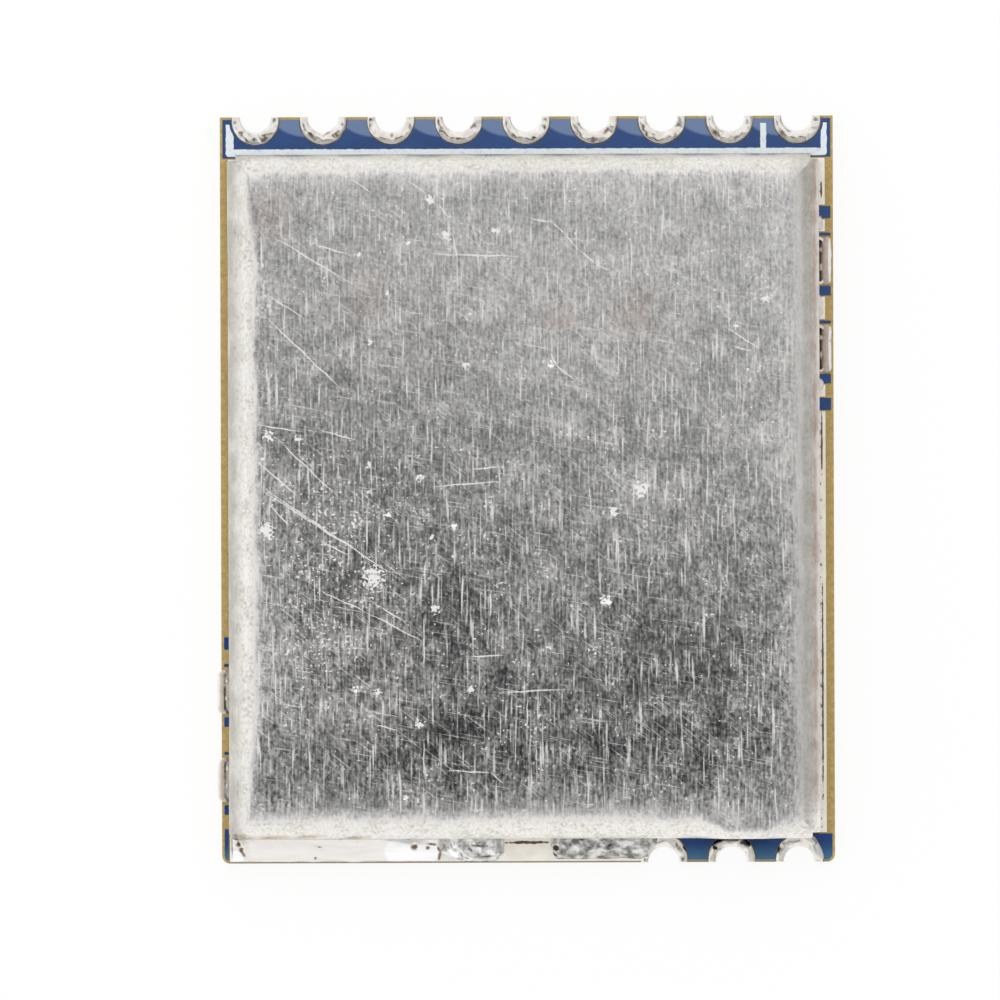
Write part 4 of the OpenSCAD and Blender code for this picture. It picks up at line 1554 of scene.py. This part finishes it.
@dataclass
class SeamRun:
    """One run of hand-laid solder along the front wall; lengths in millimetres."""

    node: str
    start: float
    end: float
    climb: float
    flow: Flow
    finish: Finish
    rise: tuple[float, float] = (0.4, 0.35)
    humps: tuple[tuple[float, float, float], ...] = ()
    dents: tuple[tuple[float, float, float, float], ...] = ()
    wall: float = -13.06
    toe: float = -13.94
    pull: float = 0.45
    hole: tuple[float, float] = (2 * PITCH, 0.64)
    edge: float = -BOARD_EDGE
    land: float = LAND_TOP
    film: float = 0.02
    crown: float = 0.09
    ragged: float = 0.12
    wander: float = 0.05
    step: float = 0.035
    arc_points: int = 26
    ragged_rate: float = 4.0
    climb_rate: float = 1.7
    wander_rate: float = 1.3
    wave: float = 0.03
    wave_rate: tuple[float, float] = (1.2, 2.5)
    crinkle: float = 0.1
    crinkle_rate: float = 2.4
    fold: float = 0.09
    fold_rate: float = 2.0
    thin_skin: float = 0.3
    hollow_share: float = 0.75
    hollow_power: float = 1.5
    swell_power: float = 0.6
    level: float = 0.015
    thinnest: float = 0.012
    shoulder: int = 6

    def skin(self, x: float, y: float, fade: float) -> float:
        """Gives the unevenness of the frozen skin.

        Args:
            x: Place along the wall.
            y: Place out from the wall.
            fade: How full the run is there.

        Returns:
            Height to add.
        """
        spot = Vector((x, y, 0.0))
        if self.flow is Flow.SMOOTH:
            lift = self.wave * ripple(Vector((x * self.wave_rate[0], y * self.wave_rate[1], 0.0)), 3)
        else:
            folds = noise.turbulence(spot * self.fold_rate, 2, True)
            lift = self.crinkle * ripple(spot * self.crinkle_rate, 2) - self.fold * (folds - 0.5)
        lift *= self.thin_skin + (1 - self.thin_skin) * fade
        for cx, cy, r, depth in self.dents:
            lift -= depth * bump(0.0, r, math.hypot(x - cx, y - cy))
        return lift

    def place(self, u: float, v: float) -> Vector:
        """Gives the point at a share of the run and of its section.

        Args:
            u: Share of the run.
            v: Share of the section.

        Returns:
            The point.
        """
        x = self.start + (self.end - self.start) * u
        # the other two numbers only set the three patterns apart
        ragged = self.ragged * noise.noise(Vector((x * self.ragged_rate, 1.0, 0.0)))
        uneven = self.flow.value * noise.noise(Vector((x * self.climb_rate, 0.0, 3.0)))
        wander = self.wander * noise.noise(Vector((x * self.wander_rate, 5.0, 0.0)))
        fade = min(
            smoothstep(0.0, self.rise[0], x - self.start + ragged),
            smoothstep(0.0, self.rise[1], self.end - x + ragged),
        )
        climb = self.climb * fade * (1 + uneven)
        swell = sum(h * bump(c, w, x) for c, w, h in self.humps) * fade
        toe = self.toe + wander + self.pull * (1 - fade) ** 2
        clear = self.hole[1] ** 2 - (x - self.hole[0]) ** 2
        toe = max(toe, self.edge + math.sqrt(max(clear, 0.0)))
        points = [(self.wall, self.land), (self.wall, self.land + self.film + climb)]
        for k in range(1, self.arc_points):
            t = k / self.arc_points
            hollow = (1 - t) ** self.hollow_power * self.hollow_share + (1 - self.hollow_share) * (1 - t)
            crown = self.crown * math.sin(math.pi * t) ** 0.5
            full = math.sin(math.pi * t) ** self.swell_power
            height = self.land + self.film + climb * hollow + (swell + crown * fade) * full
            points.append((self.wall + (toe - self.wall) * t, height))
        points.append((toe, self.land))
        y, z = along(points, v)
        if z > self.land + self.level and y < self.wall - CUT_SLACK:
            out = (self.wall - y) / (self.wall - toe)
            z += self.skin(x, y, fade) * min(1.0, self.shoulder * out, self.shoulder * (1 - out))
            z = max(z, self.land + self.thinnest)
        return Vector((x, y, z))

    def build(self) -> bpy.types.Object:
        """Makes the run of solder.

        Returns:
            The run.
        """
        stations = round((self.end - self.start) / self.step)
        bm = swept_solid(stations, self.arc_points + 2, self.place)
        name = self.node.replace("solder_", "hand_laid_")
        return make_piece(name, bm, [self.finish], [self.node], "solder")


@dataclass
class TabJoint:
    """Solder at one tab: a deep fill in the slot, a bank on its outer rim, and drops that reach the wall."""

    index: int
    y: float
    side: int
    wall: float
    slot_x: float
    crest: float
    outer: float
    gap: float
    bank_l: float
    fill: tuple[float, float]
    skin: Finish
    slot_w: float = 0.58
    slot_l: float = 1.6
    land: float = LAND_TOP
    hollow: float = 0.06
    bank_end: float = 0.22
    bank_steps: int = 48
    wavy: float = 0.16
    roughness: float = 0.03
    drops: tuple[tuple[float, float], ...] = ((0.42, 0.1), (-0.24, 0.15))
    drop_out: float = 0.11
    drop_down: float = 0.16
    drop_r: tuple[float, float] = (0.1, 0.2)
    drop_rough: float = 0.25
    drop_grain: float = 0.2
    slot_facets: int = 32
    deepest: float = 0.45
    below: float = 0.1
    # the bank's inner face: distance out from its foot, and height
    inner_face: tuple[tuple[float, float], ...] = ((0.01, 0.75), (0.04, 0.92))
    # shares of the bank's width at which its top is given
    shares: tuple[float, ...] = (0.25, 0.4, 0.55, 0.7, 0.82, 0.92, 0.97)
    lean: float = 1.7
    fullness: float = 0.8
    sunk: float = 0.04
    tilt: float = 0.06
    toe_sunk: float = 0.01
    ledge: float = 0.02
    ledge_drop: float = 0.03
    wave_rate: float = 2.2
    skin_rate: float = 3.5
    level: float = 0.015

    def plug(self, bm: bmesh.types.BMesh) -> None:
        """Adds the solder deep in the slot, with a hollow top.

        Args:
            bm: Bmesh that takes the plug.
        """
        centre = Vector((self.slot_x, self.y, self.fill[0]))
        straight = (self.slot_l - self.slot_w) / 2
        rim = bmesh.ops.create_circle(
            bm,
            cap_ends=True,
            segments=self.slot_facets,
            radius=self.slot_w / 2,
            matrix=Matrix.Translation(centre),
        )["verts"]
        for vert in rim:
            vert.co.y += math.copysign(straight, vert.co.y - centre.y + 1e-9)
        foot = next(f for f in rim[0].link_faces)
        lid = bmesh.ops.extrude_face_region(bm, geom=[foot])["geom"]
        bmesh.ops.translate(bm, vec=(0.0, 0.0, self.fill[1] - self.fill[0]), verts=vertices(lid))
        crown = [g for g in lid if isinstance(g, bmesh.types.BMFace)]
        for k in range(4):
            bmesh.ops.inset_region(bm, faces=crown, thickness=self.slot_w / 12, depth=-self.hollow / 2**k)

    def section(self) -> list[tuple[float, float]]:
        """Gives the bank's section as distance out from the middle line and height.

        Returns:
            Points in order round the section.
        """
        rim = abs(self.slot_x) + self.slot_w / 2
        foot = abs(self.wall) + self.gap
        low = min(self.fill[1], self.deepest) - self.below
        wide = self.outer - foot
        face = [(foot, low), *((foot + out, z) for out, z in self.inner_face)]
        top = []
        for t in self.shares:
            swell = math.sin(math.pi * t**self.lean) ** self.fullness
            plain = self.land - self.sunk + self.tilt * t
            top.append((foot + wide * t, plain + (self.crest - self.land) * swell))
        toe = (self.outer, self.land - self.toe_sunk)
        under = [(rim + self.ledge, self.land), (rim, self.land - self.ledge_drop), (rim, low)]
        return [*face, *top, toe, *under]

    def bank(self) -> bmesh.types.BMesh:
        """Sweeps the bank along the slot's outer rim.

        Returns:
            The closed bank.
        """
        points = self.section()
        pivot = abs(self.slot_x) + self.slot_w / 2

        def place(u: float, v: float) -> Vector:
            """Gives a point of the bank.

            Args:
                u: Share of its length.
                v: Share of its section.

            Returns:
                The point.
            """
            run = (u - 0.5) * self.bank_l
            over = max(0.0, abs(run) - self.bank_l / 2 + self.bank_end) / self.bank_end
            full = math.sqrt(max(0.0, 1 - over**2))
            out, z = along(points, v)
            wavy = 1 + self.wavy * noise.noise(Vector((run * self.wave_rate, self.index, 0.0)))
            x = self.side * (pivot + (out - pivot) * full * (wavy if out > pivot else 1.0))
            if z > self.land + self.level:
                z += self.roughness * ripple(Vector((out, run, self.index)) * self.skin_rate, 3)
            return Vector((x, self.y + run, self.land + (z - self.land) * full))

        return swept_solid(self.bank_steps, len(points), place)

    def build(self) -> bpy.types.Object:
        """Makes the joint.

        Returns:
            The joint.
        """
        bm = self.bank()
        self.plug(bm)
        for shift, r in self.drops:
            x = self.wall + self.side * self.drop_out
            middle = Vector((x, self.y + shift, self.land - self.drop_down))
            radii = Vector((self.drop_r[0], r, self.drop_r[1]))
            lump(bm, middle, radii, self.drop_rough, self.drop_grain)
        face_outwards(bm)
        in_order(bm)
        return make_piece(f"tab_joint_{self.index}", bm, [self.skin], [f"solder_tab_{self.index}"], "solder")


@dataclass
class SolderWork:
    """Solder that holds the can: runs along its front wall, joints at its tabs, and small fillets."""

    can: ShieldCan
    land: float = LAND_TOP
    # slots and banks: left, right
    slot_x: tuple[float, float] = (-11.05, 10.91)
    bank_outer: tuple[float, float] = (11.64, 11.42)
    bank_crest: tuple[float, float] = (1.14, 1.1)
    bank_gap: tuple[float, float] = (0.15, 0.1)
    bank_l: tuple[float, float] = (1.7, 1.84)
    slot_foot: float = 0.12
    slot_fill: tuple[float, float] = (1.0, 0.45)
    fillets: tuple[tuple[float, float], ...] = ((9.97, 0.62), (6.8, 0.9), (3.9, 0.56))
    fillet_r: tuple[float, float] = (0.21, 0.2)
    fillet_rough: float = 0.25
    fillet_grain: float = 0.25
    last_hole: tuple[float, float] = (4 * PITCH, -BOARD_EDGE)
    hole_r: float = 0.6
    corner_rough: float = 0.1
    corner_grain: float = 0.5
    # lobes of the corner joint: middle x, y, half length, half width, height, turn in degrees
    corner_flow: tuple[tuple[float, float, float, float, float, float], ...] = (
        (10.76, -13.5, 0.56, 0.22, 0.24, 26.0),
        (10.46, -13.16, 0.4, 0.2, 0.5, 62.0),
    )

    def tab_joint(self, index: int) -> bpy.types.Object:
        """Makes the solder at one tab.

        Args:
            index: Tab's number.

        Returns:
            The joint.
        """
        side, y = self.can.tab_spots[index - 1]
        right = side > 0
        joint = TabJoint(
            index,
            y,
            side,
            self.can.high.x if right else self.can.low.x,
            self.slot_x[right],
            self.bank_crest[right],
            self.bank_outer[right],
            self.bank_gap[right],
            self.bank_l[right],
            (self.slot_foot, self.slot_fill[right]),
            RIM_SOLDER if right else FLUXED_SOLDER,
        )
        return joint.build()

    def wall_fillets(self) -> bpy.types.Object:
        """Makes the small lumps between the right wall and its land.

        Returns:
            The lumps as one piece.
        """
        bm = bmesh.new()
        for y, length in self.fillets:
            middle = Vector((self.can.high.x, y, self.land))
            radii = Vector((self.fillet_r[0], length / 2, self.fillet_r[1]))
            lump(bm, middle, radii, self.fillet_rough, self.fillet_grain)
        trim(bm, Vector((0.0, 0.0, self.land)), Vector((0.0, 0.0, -1.0)))
        trim(bm, Vector((self.can.high.x, 0.0, 0.0)), Vector((-1.0, 0.0, 0.0)))
        face_outwards(bm)
        return make_piece("wall_fillets", bm, [SMOOTH_SOLDER], ["solder_fillets"], "solder")

    def corner(self) -> bpy.types.Object:
        """Makes the solder that runs from the can's corner to the last terminal.

        Returns:
            The corner joint.
        """
        bm = bmesh.new()
        for x, y, long, wide, high, turn in self.corner_flow:
            middle = Vector((x, y, self.land))
            radii = Vector((wide, long, high))
            made = lump(bm, middle, radii, self.corner_rough, self.corner_grain)
            bmesh.ops.rotate(bm, cent=middle, matrix=Matrix.Rotation(math.radians(turn), 3, "Z"), verts=made)
        for vert in bm.verts:
            away = vert.co.to_2d() - Vector(self.last_hole)
            if away.length < self.hole_r:
                vert.co.xy = Vector(self.last_hole) + away.normalized() * self.hole_r
        trim(bm, Vector((0.0, 0.0, self.land)), Vector((0.0, 0.0, -1.0)))
        trim(bm, Vector((0.0, self.last_hole[1], 0.0)), Vector((0.0, -1.0, 0.0)))
        face_outwards(bm)
        return make_piece("corner_joint", bm, [SMOOTH_SOLDER], ["solder_corner"], "solder")

    def build(self) -> list[bpy.types.Object]:
        """Makes all the solder.

        Returns:
            Its pieces.
        """
        runs = (
            SeamRun(
                "solder_seam_left",
                start=-11.16,
                end=-3.22,
                climb=0.62,
                flow=Flow.SMOOTH,
                finish=SEAM_SOLDER,
                rise=(0.14, 0.16),
                humps=((-4.5, 1.3, 0.2), (-10.8, 0.4, 0.1)),
                dents=(
                    (-4.27, -13.36, 0.17, 0.16),
                    (-3.77, -13.41, 0.09, 0.06),
                    (-10.86, -13.25, 0.12, 0.16),
                    (-10.76, -13.45, 0.12, 0.16),
                    (-10.66, -13.65, 0.1, 0.12),
                ),
            ),
            SeamRun(
                "solder_seam_middle",
                start=-3.28,
                end=-0.92,
                climb=0.2,
                flow=Flow.CRINKLED,
                finish=CRINKLED_SOLDER,
                rise=(0.8, 0.4),
                pull=0.3,
            ),
            SeamRun(
                "solder_seam_right",
                start=0.85,
                end=5.0,
                climb=0.32,
                flow=Flow.CRINKLED,
                finish=DARK_CRINKLES,
                rise=(0.25, 0.6),
                humps=((1.05, 0.35, 0.1),),
                dents=((1.03, -13.43, 0.13, 0.14),),
                toe=-13.86,
            ),
        )
        made = [run.build() for run in runs]
        made += [self.tab_joint(index) for index in (1, 2, 3, 4)]
        return made + [self.wall_fillets(), self.corner()]


@dataclass
class Silkscreen:
    """White printed frame line beside the long row, with three upright ticks."""

    low: float = 1.0
    ink: float = 0.02
    line_y: tuple[float, float] = (12.51, 12.79)
    reach: float = 11.27
    ticks: tuple[tuple[float, float], ...] = ((-11.27, -10.98), (8.78, 9.0), (11.05, 11.27))
    tick_top: float = 13.73
    ring_x: float = 4 * PITCH
    ring_y: float = 13.84
    ring_r: float = 0.98
    corner: float = 0.1
    ragged: float = 0.02
    ragged_rate: float = 4.0
    cell: float = 0.05

    def clear_of_rings(self, vert: bmesh.types.BMVert, low: float, high: float) -> None:
        """Draws a tick's vertex in so that the print keeps clear of the outermost terminals.

        Args:
            vert: Vertex of the tick.
            low: The tick's lowest x.
            high: The tick's highest x.
        """
        up = abs(vert.co.y - self.ring_y)
        edge = self.ring_x + math.sqrt(max(0.0, self.ring_r**2 - up**2))
        share = (vert.co.x - low) / (high - low)
        if low < -self.ring_x:
            vert.co.x = low + share * (min(high, -edge) - low)
        elif high > self.ring_x:
            vert.co.x = high - (1 - share) * (high - max(low, edge))

    def strip(self, bm: bmesh.types.BMesh, low: tuple[float, float], high: tuple[float, float]) -> None:
        """Adds one printed strip with ragged edges.

        Args:
            bm: Bmesh that takes the strip.
            low: Its lowest x and y.
            high: Its highest x and y.
        """
        size = Vector((high[0] - low[0], high[1] - low[1]))
        place = Matrix.Translation(((low[0] + high[0]) / 2, (low[1] + high[1]) / 2, self.low))
        made = bmesh.ops.create_grid(
            bm,
            x_segments=max(3, round(size.x / self.cell)),
            y_segments=max(3, round(size.y / self.cell)),
            size=0.5,
            matrix=place @ Matrix.Diagonal((*size, 1.0, 1.0)),
        )["verts"]
        for vert in made:
            if low[1] >= self.line_y[1]:
                self.clear_of_rings(vert, low[0], high[0])
            away = self.reach - abs(vert.co.x)
            if away < self.corner and vert.co.y < self.line_y[0] + self.corner:
                round_off = self.corner - math.sqrt(max(0.0, away * (2 * self.corner - away)))
                vert.co.y = max(vert.co.y, self.line_y[0] + round_off)
            if vert.is_boundary:
                at = vert.co * self.ragged_rate
                vert.co.x += self.ragged * ripple(at, 3)
                vert.co.y += self.ragged * ripple(at + Vector((9.0, 0.0, 0.0)), 3)
        faces = list(dict.fromkeys(f for v in made for f in v.link_faces))
        grown = bmesh.ops.extrude_face_region(bm, geom=faces)["geom"]
        bmesh.ops.translate(bm, vec=(0.0, 0.0, self.ink), verts=vertices(grown))

    def build(self) -> bpy.types.Object:
        """Prints the line and its ticks.

        Returns:
            The print.
        """
        bm = bmesh.new()
        self.strip(bm, (-self.reach, self.line_y[0]), (self.reach, self.line_y[1]))
        for left, right in self.ticks:
            self.strip(bm, (left, self.line_y[1]), (right, self.tick_top))
        bmesh.ops.recalc_face_normals(bm, faces=bm.faces)
        in_order(bm)
        return make_piece("frame_print", bm, [WHITE_PRINT], ["silkscreen"], "white_print")


class MetalAt(Enum):
    """Where an inner piece shows metal."""

    ENDS = "ends"
    LEADS = "leads"
    LID = "lid"
    UNDERSIDE = "underside"


@dataclass
class InnerPiece:
    """One piece or group of the circuit under the can, with its metal parts tinned."""

    node: str
    body: Finish
    slot: str
    metal: MetalAt
    cap: float = 0.25
    step: float = 0.16
    pad: float = 0.11
    slack: float = 0.01
    edge: float = 0.02
    edge_angle: float = 40.0

    def islands(self, bm: bmesh.types.BMesh) -> list[list[bmesh.types.BMFace]]:
        """Sorts the faces into the separate bodies that they belong to.

        Args:
            bm: Merged copy of the solid.

        Returns:
            Faces of each body.
        """
        left = set(bm.faces)
        found = []
        while left:
            seed = left.pop()
            group, front = [seed], [seed]
            while front:
                face = front.pop()
                for near in {f for e in face.edges for f in e.link_faces} & left:
                    left.discard(near)
                    group.append(near)
                    front.append(near)
            found.append(group)
        return found

    def is_metal(self, spot: Vector, low: Vector, high: Vector, top: tuple[Vector, Vector]) -> bool:
        """Says whether a face of a body is metal.

        Args:
            spot: Middle of the face.
            low: Lowest corner of the body.
            high: Highest corner of the body.
            top: Lowest and highest corner of the body's top face.

        Returns:
            True for metal.
        """
        if self.metal is MetalAt.ENDS:
            long = 0 if high.x - low.x >= high.y - low.y else 1
            return min(spot[long] - low[long], high[long] - spot[long]) < self.cap
        if self.metal is MetalAt.LID:
            return spot.z > high.z - self.step / 2
        if self.metal is MetalAt.UNDERSIDE:
            return spot.z < low.z + self.pad
        inside = (top[0][k] - self.slack <= spot[k] <= top[1][k] + self.slack for k in (0, 1))
        return not all(inside)

    def build(self) -> bpy.types.Object:
        """Copies the solid, eases its edges and tins its metal.

        Returns:
            The dressed copy.
        """
        bm = bmesh.new()
        bm.from_mesh(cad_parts[self.node].data)
        bmesh.ops.scale(bm, vec=(1 / MM, 1 / MM, 1 / MM), verts=bm.verts)
        bmesh.ops.remove_doubles(bm, verts=bm.verts, dist=CORNER_SLACK)
        bmesh.ops.dissolve_limit(bm, angle_limit=math.radians(1), verts=bm.verts, edges=bm.edges)
        for group in self.islands(bm):
            points = [v.co for f in group for v in f.verts]
            low = Vector(min(p[k] for p in points) for k in range(3))
            high = Vector(max(p[k] for p in points) for k in range(3))
            crown = [p for p in points if p.z > high.z - WALL_SLACK]
            top = (
                Vector(min(p[k] for p in crown) for k in range(3)),
                Vector(max(p[k] for p in crown) for k in range(3)),
            )
            for face in group:
                face.material_index = int(self.is_metal(face.calc_center_median(), low, high, top))
        piece = make_piece(f"inner_{self.node}", bm, [self.body, TINNED_COPPER], [self.node], self.slot)
        ease_edges(piece, "eased edges", self.edge, self.edge_angle)
        return piece


INNER_PIECES = (
    InnerPiece("receiver_chip", COMPOUND, "moulded_plastic", MetalAt.UNDERSIDE),
    InnerPiece("if_filter", CERAMIC, "package_ceramic", MetalAt.LID),
    InnerPiece("crystal", CERAMIC, "package_ceramic", MetalAt.LID),
    InnerPiece("band_pass_filter", CERAMIC, "package_ceramic", MetalAt.ENDS),
    InnerPiece("low_noise_amplifier", COMPOUND, "moulded_plastic", MetalAt.LEADS),
    InnerPiece("video_amplifier", COMPOUND, "moulded_plastic", MetalAt.LEADS),
    InnerPiece("voltage_regulator", COMPOUND, "moulded_plastic", MetalAt.LEADS),
    InnerPiece("tantalum_capacitor", TANTALUM, "tantalum_plastic", MetalAt.LEADS),
    InnerPiece("chip_inductors", FERRITE, "ferrite", MetalAt.ENDS),
    InnerPiece("chip_capacitors", CAPACITOR, "capacitor_ceramic", MetalAt.ENDS),
    InnerPiece("chip_resistors", RESISTOR, "resistor_ceramic", MetalAt.ENDS),
)


def dress_solids() -> list[bpy.types.Object]:
    """Gives the solids that stay in view their finishes.

    Returns:
        The dressed solids.
    """
    skins = {"circuit_board": LAMINATE, "solder_mask_top": SOLDER_MASK, "solder_mask_bottom": SOLDER_MASK}
    lands = {"left": FLAT_TINNING, "right": RIGHT_TINNING, "top": FLAT_TINNING, "bottom": FRONT_TINNING}
    for side, finish in lands.items():
        skins[f"shield_land_{side}"] = finish
    for index in (1, 2, 3, 4):
        skins[f"slot_plating_{index}"] = TINNED_COPPER
    dressed = []
    for node, finish in skins.items():
        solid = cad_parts[node]
        solid.data.materials.clear()
        solid.data.materials.append(material(finish))
        dressed.append(solid)
    return dressed


# --------------------------------------------------------------------- studio


@dataclass
class Studio:
    """White floor, graded card overhead, bright walls and a camera straight above; in millimetres."""

    field: float = 37.52
    distance: float = 250.0
    sensor: float = 36.0
    aim: tuple[float, float] = (-1.03, -0.39)
    roll: float = -0.19
    subject_z: float = 1.0
    floor_size: float = 4000.0
    floor_drop: float = 0.02
    floor_white: float = 0.97
    floor_glow: float = 0.9
    walls: float = 1.0
    right_wall: float = 0.45
    right_from: tuple[float, float] = (0.2, 0.75)
    card_size: float = 240.0
    card_z: float = 90.0
    card_slant: tuple[float, float, float] = (0.24, 1.0, 0.0)
    lamp_place: tuple[float, float, float] = (-30.0, 100.0, 280.0)
    lamp_size: float = 420.0
    lamp_watts: float = 0.75

    def plate(self, name: str, size: float, z: float, skin: bpy.types.Material) -> bpy.types.Object:
        """Adds a level square plate to the studio.

        Args:
            name: Its name.
            size: Its side.
            z: Its height.
            skin: Its material.

        Returns:
            The plate.
        """
        bm = bmesh.new()
        lay = Matrix.Translation((0.0, 0.0, z * MM))
        bmesh.ops.create_grid(bm, x_segments=4, y_segments=4, size=size / 2 * MM, matrix=lay)
        mesh = bpy.data.meshes.new(name)
        bm.to_mesh(mesh)
        bm.free()
        mesh.materials.append(skin)
        thing = bpy.data.objects.new(name, mesh)
        bpy.context.scene.collection.objects.link(thing)
        return thing

    def floor(self) -> None:
        """Lays the white floor a hair below the board; it keeps the object's shadow."""
        paper = bpy.data.materials.new("white paper")
        paper.use_nodes = True
        graph = Graph(paper.node_tree)
        sheet = paper.node_tree.nodes["Principled BSDF"]
        white = (self.floor_white, self.floor_white, self.floor_white, 1.0)
        graph.feed(sheet, {"Base Color": white, "Roughness": 1.0, "Specular IOR Level": 0.0})
        path = graph.add(Kind.LIGHT_PATH)
        seen = graph.total(*(path.outputs[f"Is {ray} Ray"] for ray in ("Camera", "Glossy", "Transmission")))
        share = graph.add(Kind.MAP_RANGE, {"Value": seen, "To Max": self.floor_glow})
        glow = graph.add(Kind.EMISSION, {"Color": (1.0, 1.0, 1.0, 1.0), "Strength": 1.0})
        both = graph.add(Kind.MIX_SHADER, {0: share, 1: sheet, 2: glow})
        graph.feed(paper.node_tree.nodes["Material Output"], {"Surface": both})
        self.plate("studio_floor", self.floor_size, -self.floor_drop, paper)

    def card(self) -> None:
        """Hangs a card whose dark middle gives the can's top its grey, and its bright rims the bends."""
        skin = bpy.data.materials.new("graded card")
        skin.use_nodes = True
        graph = Graph(skin.node_tree)
        mm = graph.millimetres()
        dot = graph.add(Kind.VECTOR_MATH, {0: mm, 1: self.card_slant}, operation="DOT_PRODUCT")
        slant = dot.outputs["Value"]
        across, along_y, _ = graph.add(Kind.SEPARATE, {"Vector": mm}).outputs
        # ramps of brightness: where each one starts and ends, and its level at both
        ramps = (
            (slant, -13.0, 26.0, 0.07, 0.9),
            (along_y, -13.5, -27.0, 0.0, 0.62),
            (along_y, -26.0, -120.0, 0.0, 1.0),
            (across, -12.0, -95.0, 0.0, 0.95),
            (across, 13.0, 32.0, 0.0, 0.58),
        )
        level: Value = 0.0
        for place, start, end, low, high in ramps:
            step = graph.add(
                Kind.MAP_RANGE,
                {"Value": place, "From Min": start, "From Max": end, "To Min": low, "To Max": high},
                interpolation_type="SMOOTHSTEP",
            )
            level = graph.add(Kind.MATH, {0: level, 1: step}, operation="MAXIMUM")
        glow = graph.add(Kind.EMISSION, {"Color": (1.0, 1.0, 1.0, 1.0), "Strength": level})
        graph.feed(skin.node_tree.nodes["Material Output"], {"Surface": glow})
        hung = self.plate("studio_card", self.card_size, self.card_z, skin)
        hung.visible_camera = False
        hung.visible_shadow = False

    def sky(self) -> None:
        """Surrounds the object with bright walls, dimmer on the right."""
        world = bpy.data.worlds.new("studio")
        world.use_nodes = True
        bpy.context.scene.world = world
        graph = Graph(world.node_tree)
        way = graph.add(Kind.SEPARATE, {"Vector": graph.add(Kind.COORDS).outputs["Generated"]})
        level = graph.add(
            Kind.MAP_RANGE,
            {
                "Value": way.outputs["X"],
                "From Min": self.right_from[0],
                "From Max": self.right_from[1],
                "To Min": self.walls,
                "To Max": self.right_wall,
            },
        )
        path = graph.add(Kind.LIGHT_PATH)
        shown = graph.add(
            Kind.MIX, {"Factor": path.outputs["Is Camera Ray"], "A": level, "B": 1.0}, data_type="FLOAT"
        )
        graph.feed(world.node_tree.nodes["Background"], {"Color": (1.0, 1.0, 1.0, 1.0), "Strength": shown})

    def lamps(self) -> None:
        """Sets a large soft lamp overhead, a little beyond the middle."""
        light = bpy.data.lights.new("soft box", "AREA")
        light.size = self.lamp_size * MM
        light.energy = self.lamp_watts
        lamp = bpy.data.objects.new("soft box", light)
        lamp.location = Vector(self.lamp_place) * MM
        lamp.rotation_euler = (-lamp.location).to_track_quat("-Z", "Y").to_euler()
        lamp.visible_camera = False
        lamp.visible_glossy = False
        bpy.context.scene.collection.objects.link(lamp)

    def camera(self) -> None:
        """Sets the camera straight above, as in the photograph."""
        lens = bpy.data.cameras.new("above")
        lens.sensor_width = self.sensor
        lens.lens = self.sensor * self.distance / self.field
        lens.clip_start = self.distance / 100 * MM
        lens.clip_end = self.floor_size * MM
        view = bpy.data.objects.new("above", lens)
        view.location = Vector((*self.aim, self.distance + self.subject_z)) * MM
        view.rotation_euler = (0.0, 0.0, math.radians(self.roll))
        bpy.context.scene.collection.objects.link(view)
        bpy.context.scene.camera = view

    def build(self) -> None:
        """Sets up the whole studio."""
        bpy.context.scene.view_settings.view_transform = "Standard"
        self.floor()
        self.card()
        self.sky()
        self.lamps()
        self.camera()


def main() -> None:
    """Builds and dresses the module, then the studio."""
    logging.basicConfig(level=logging.INFO, format="%(name)s: %(message)s")
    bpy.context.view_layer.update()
    can = ShieldCan()
    pieces = [*dress_solids(), can.build(), *Terminals().build(), *SolderWork(can).build()]
    pieces += [Silkscreen().build(), *(inner.build() for inner in INNER_PIECES)]
    for piece in pieces:
        shape = piece.data
        LOG.info("%s: %d faces, %s", piece.name, len(shape.polygons), shape.materials[0].name)
    Studio().build()


if __name__ == "__main__":
    main()
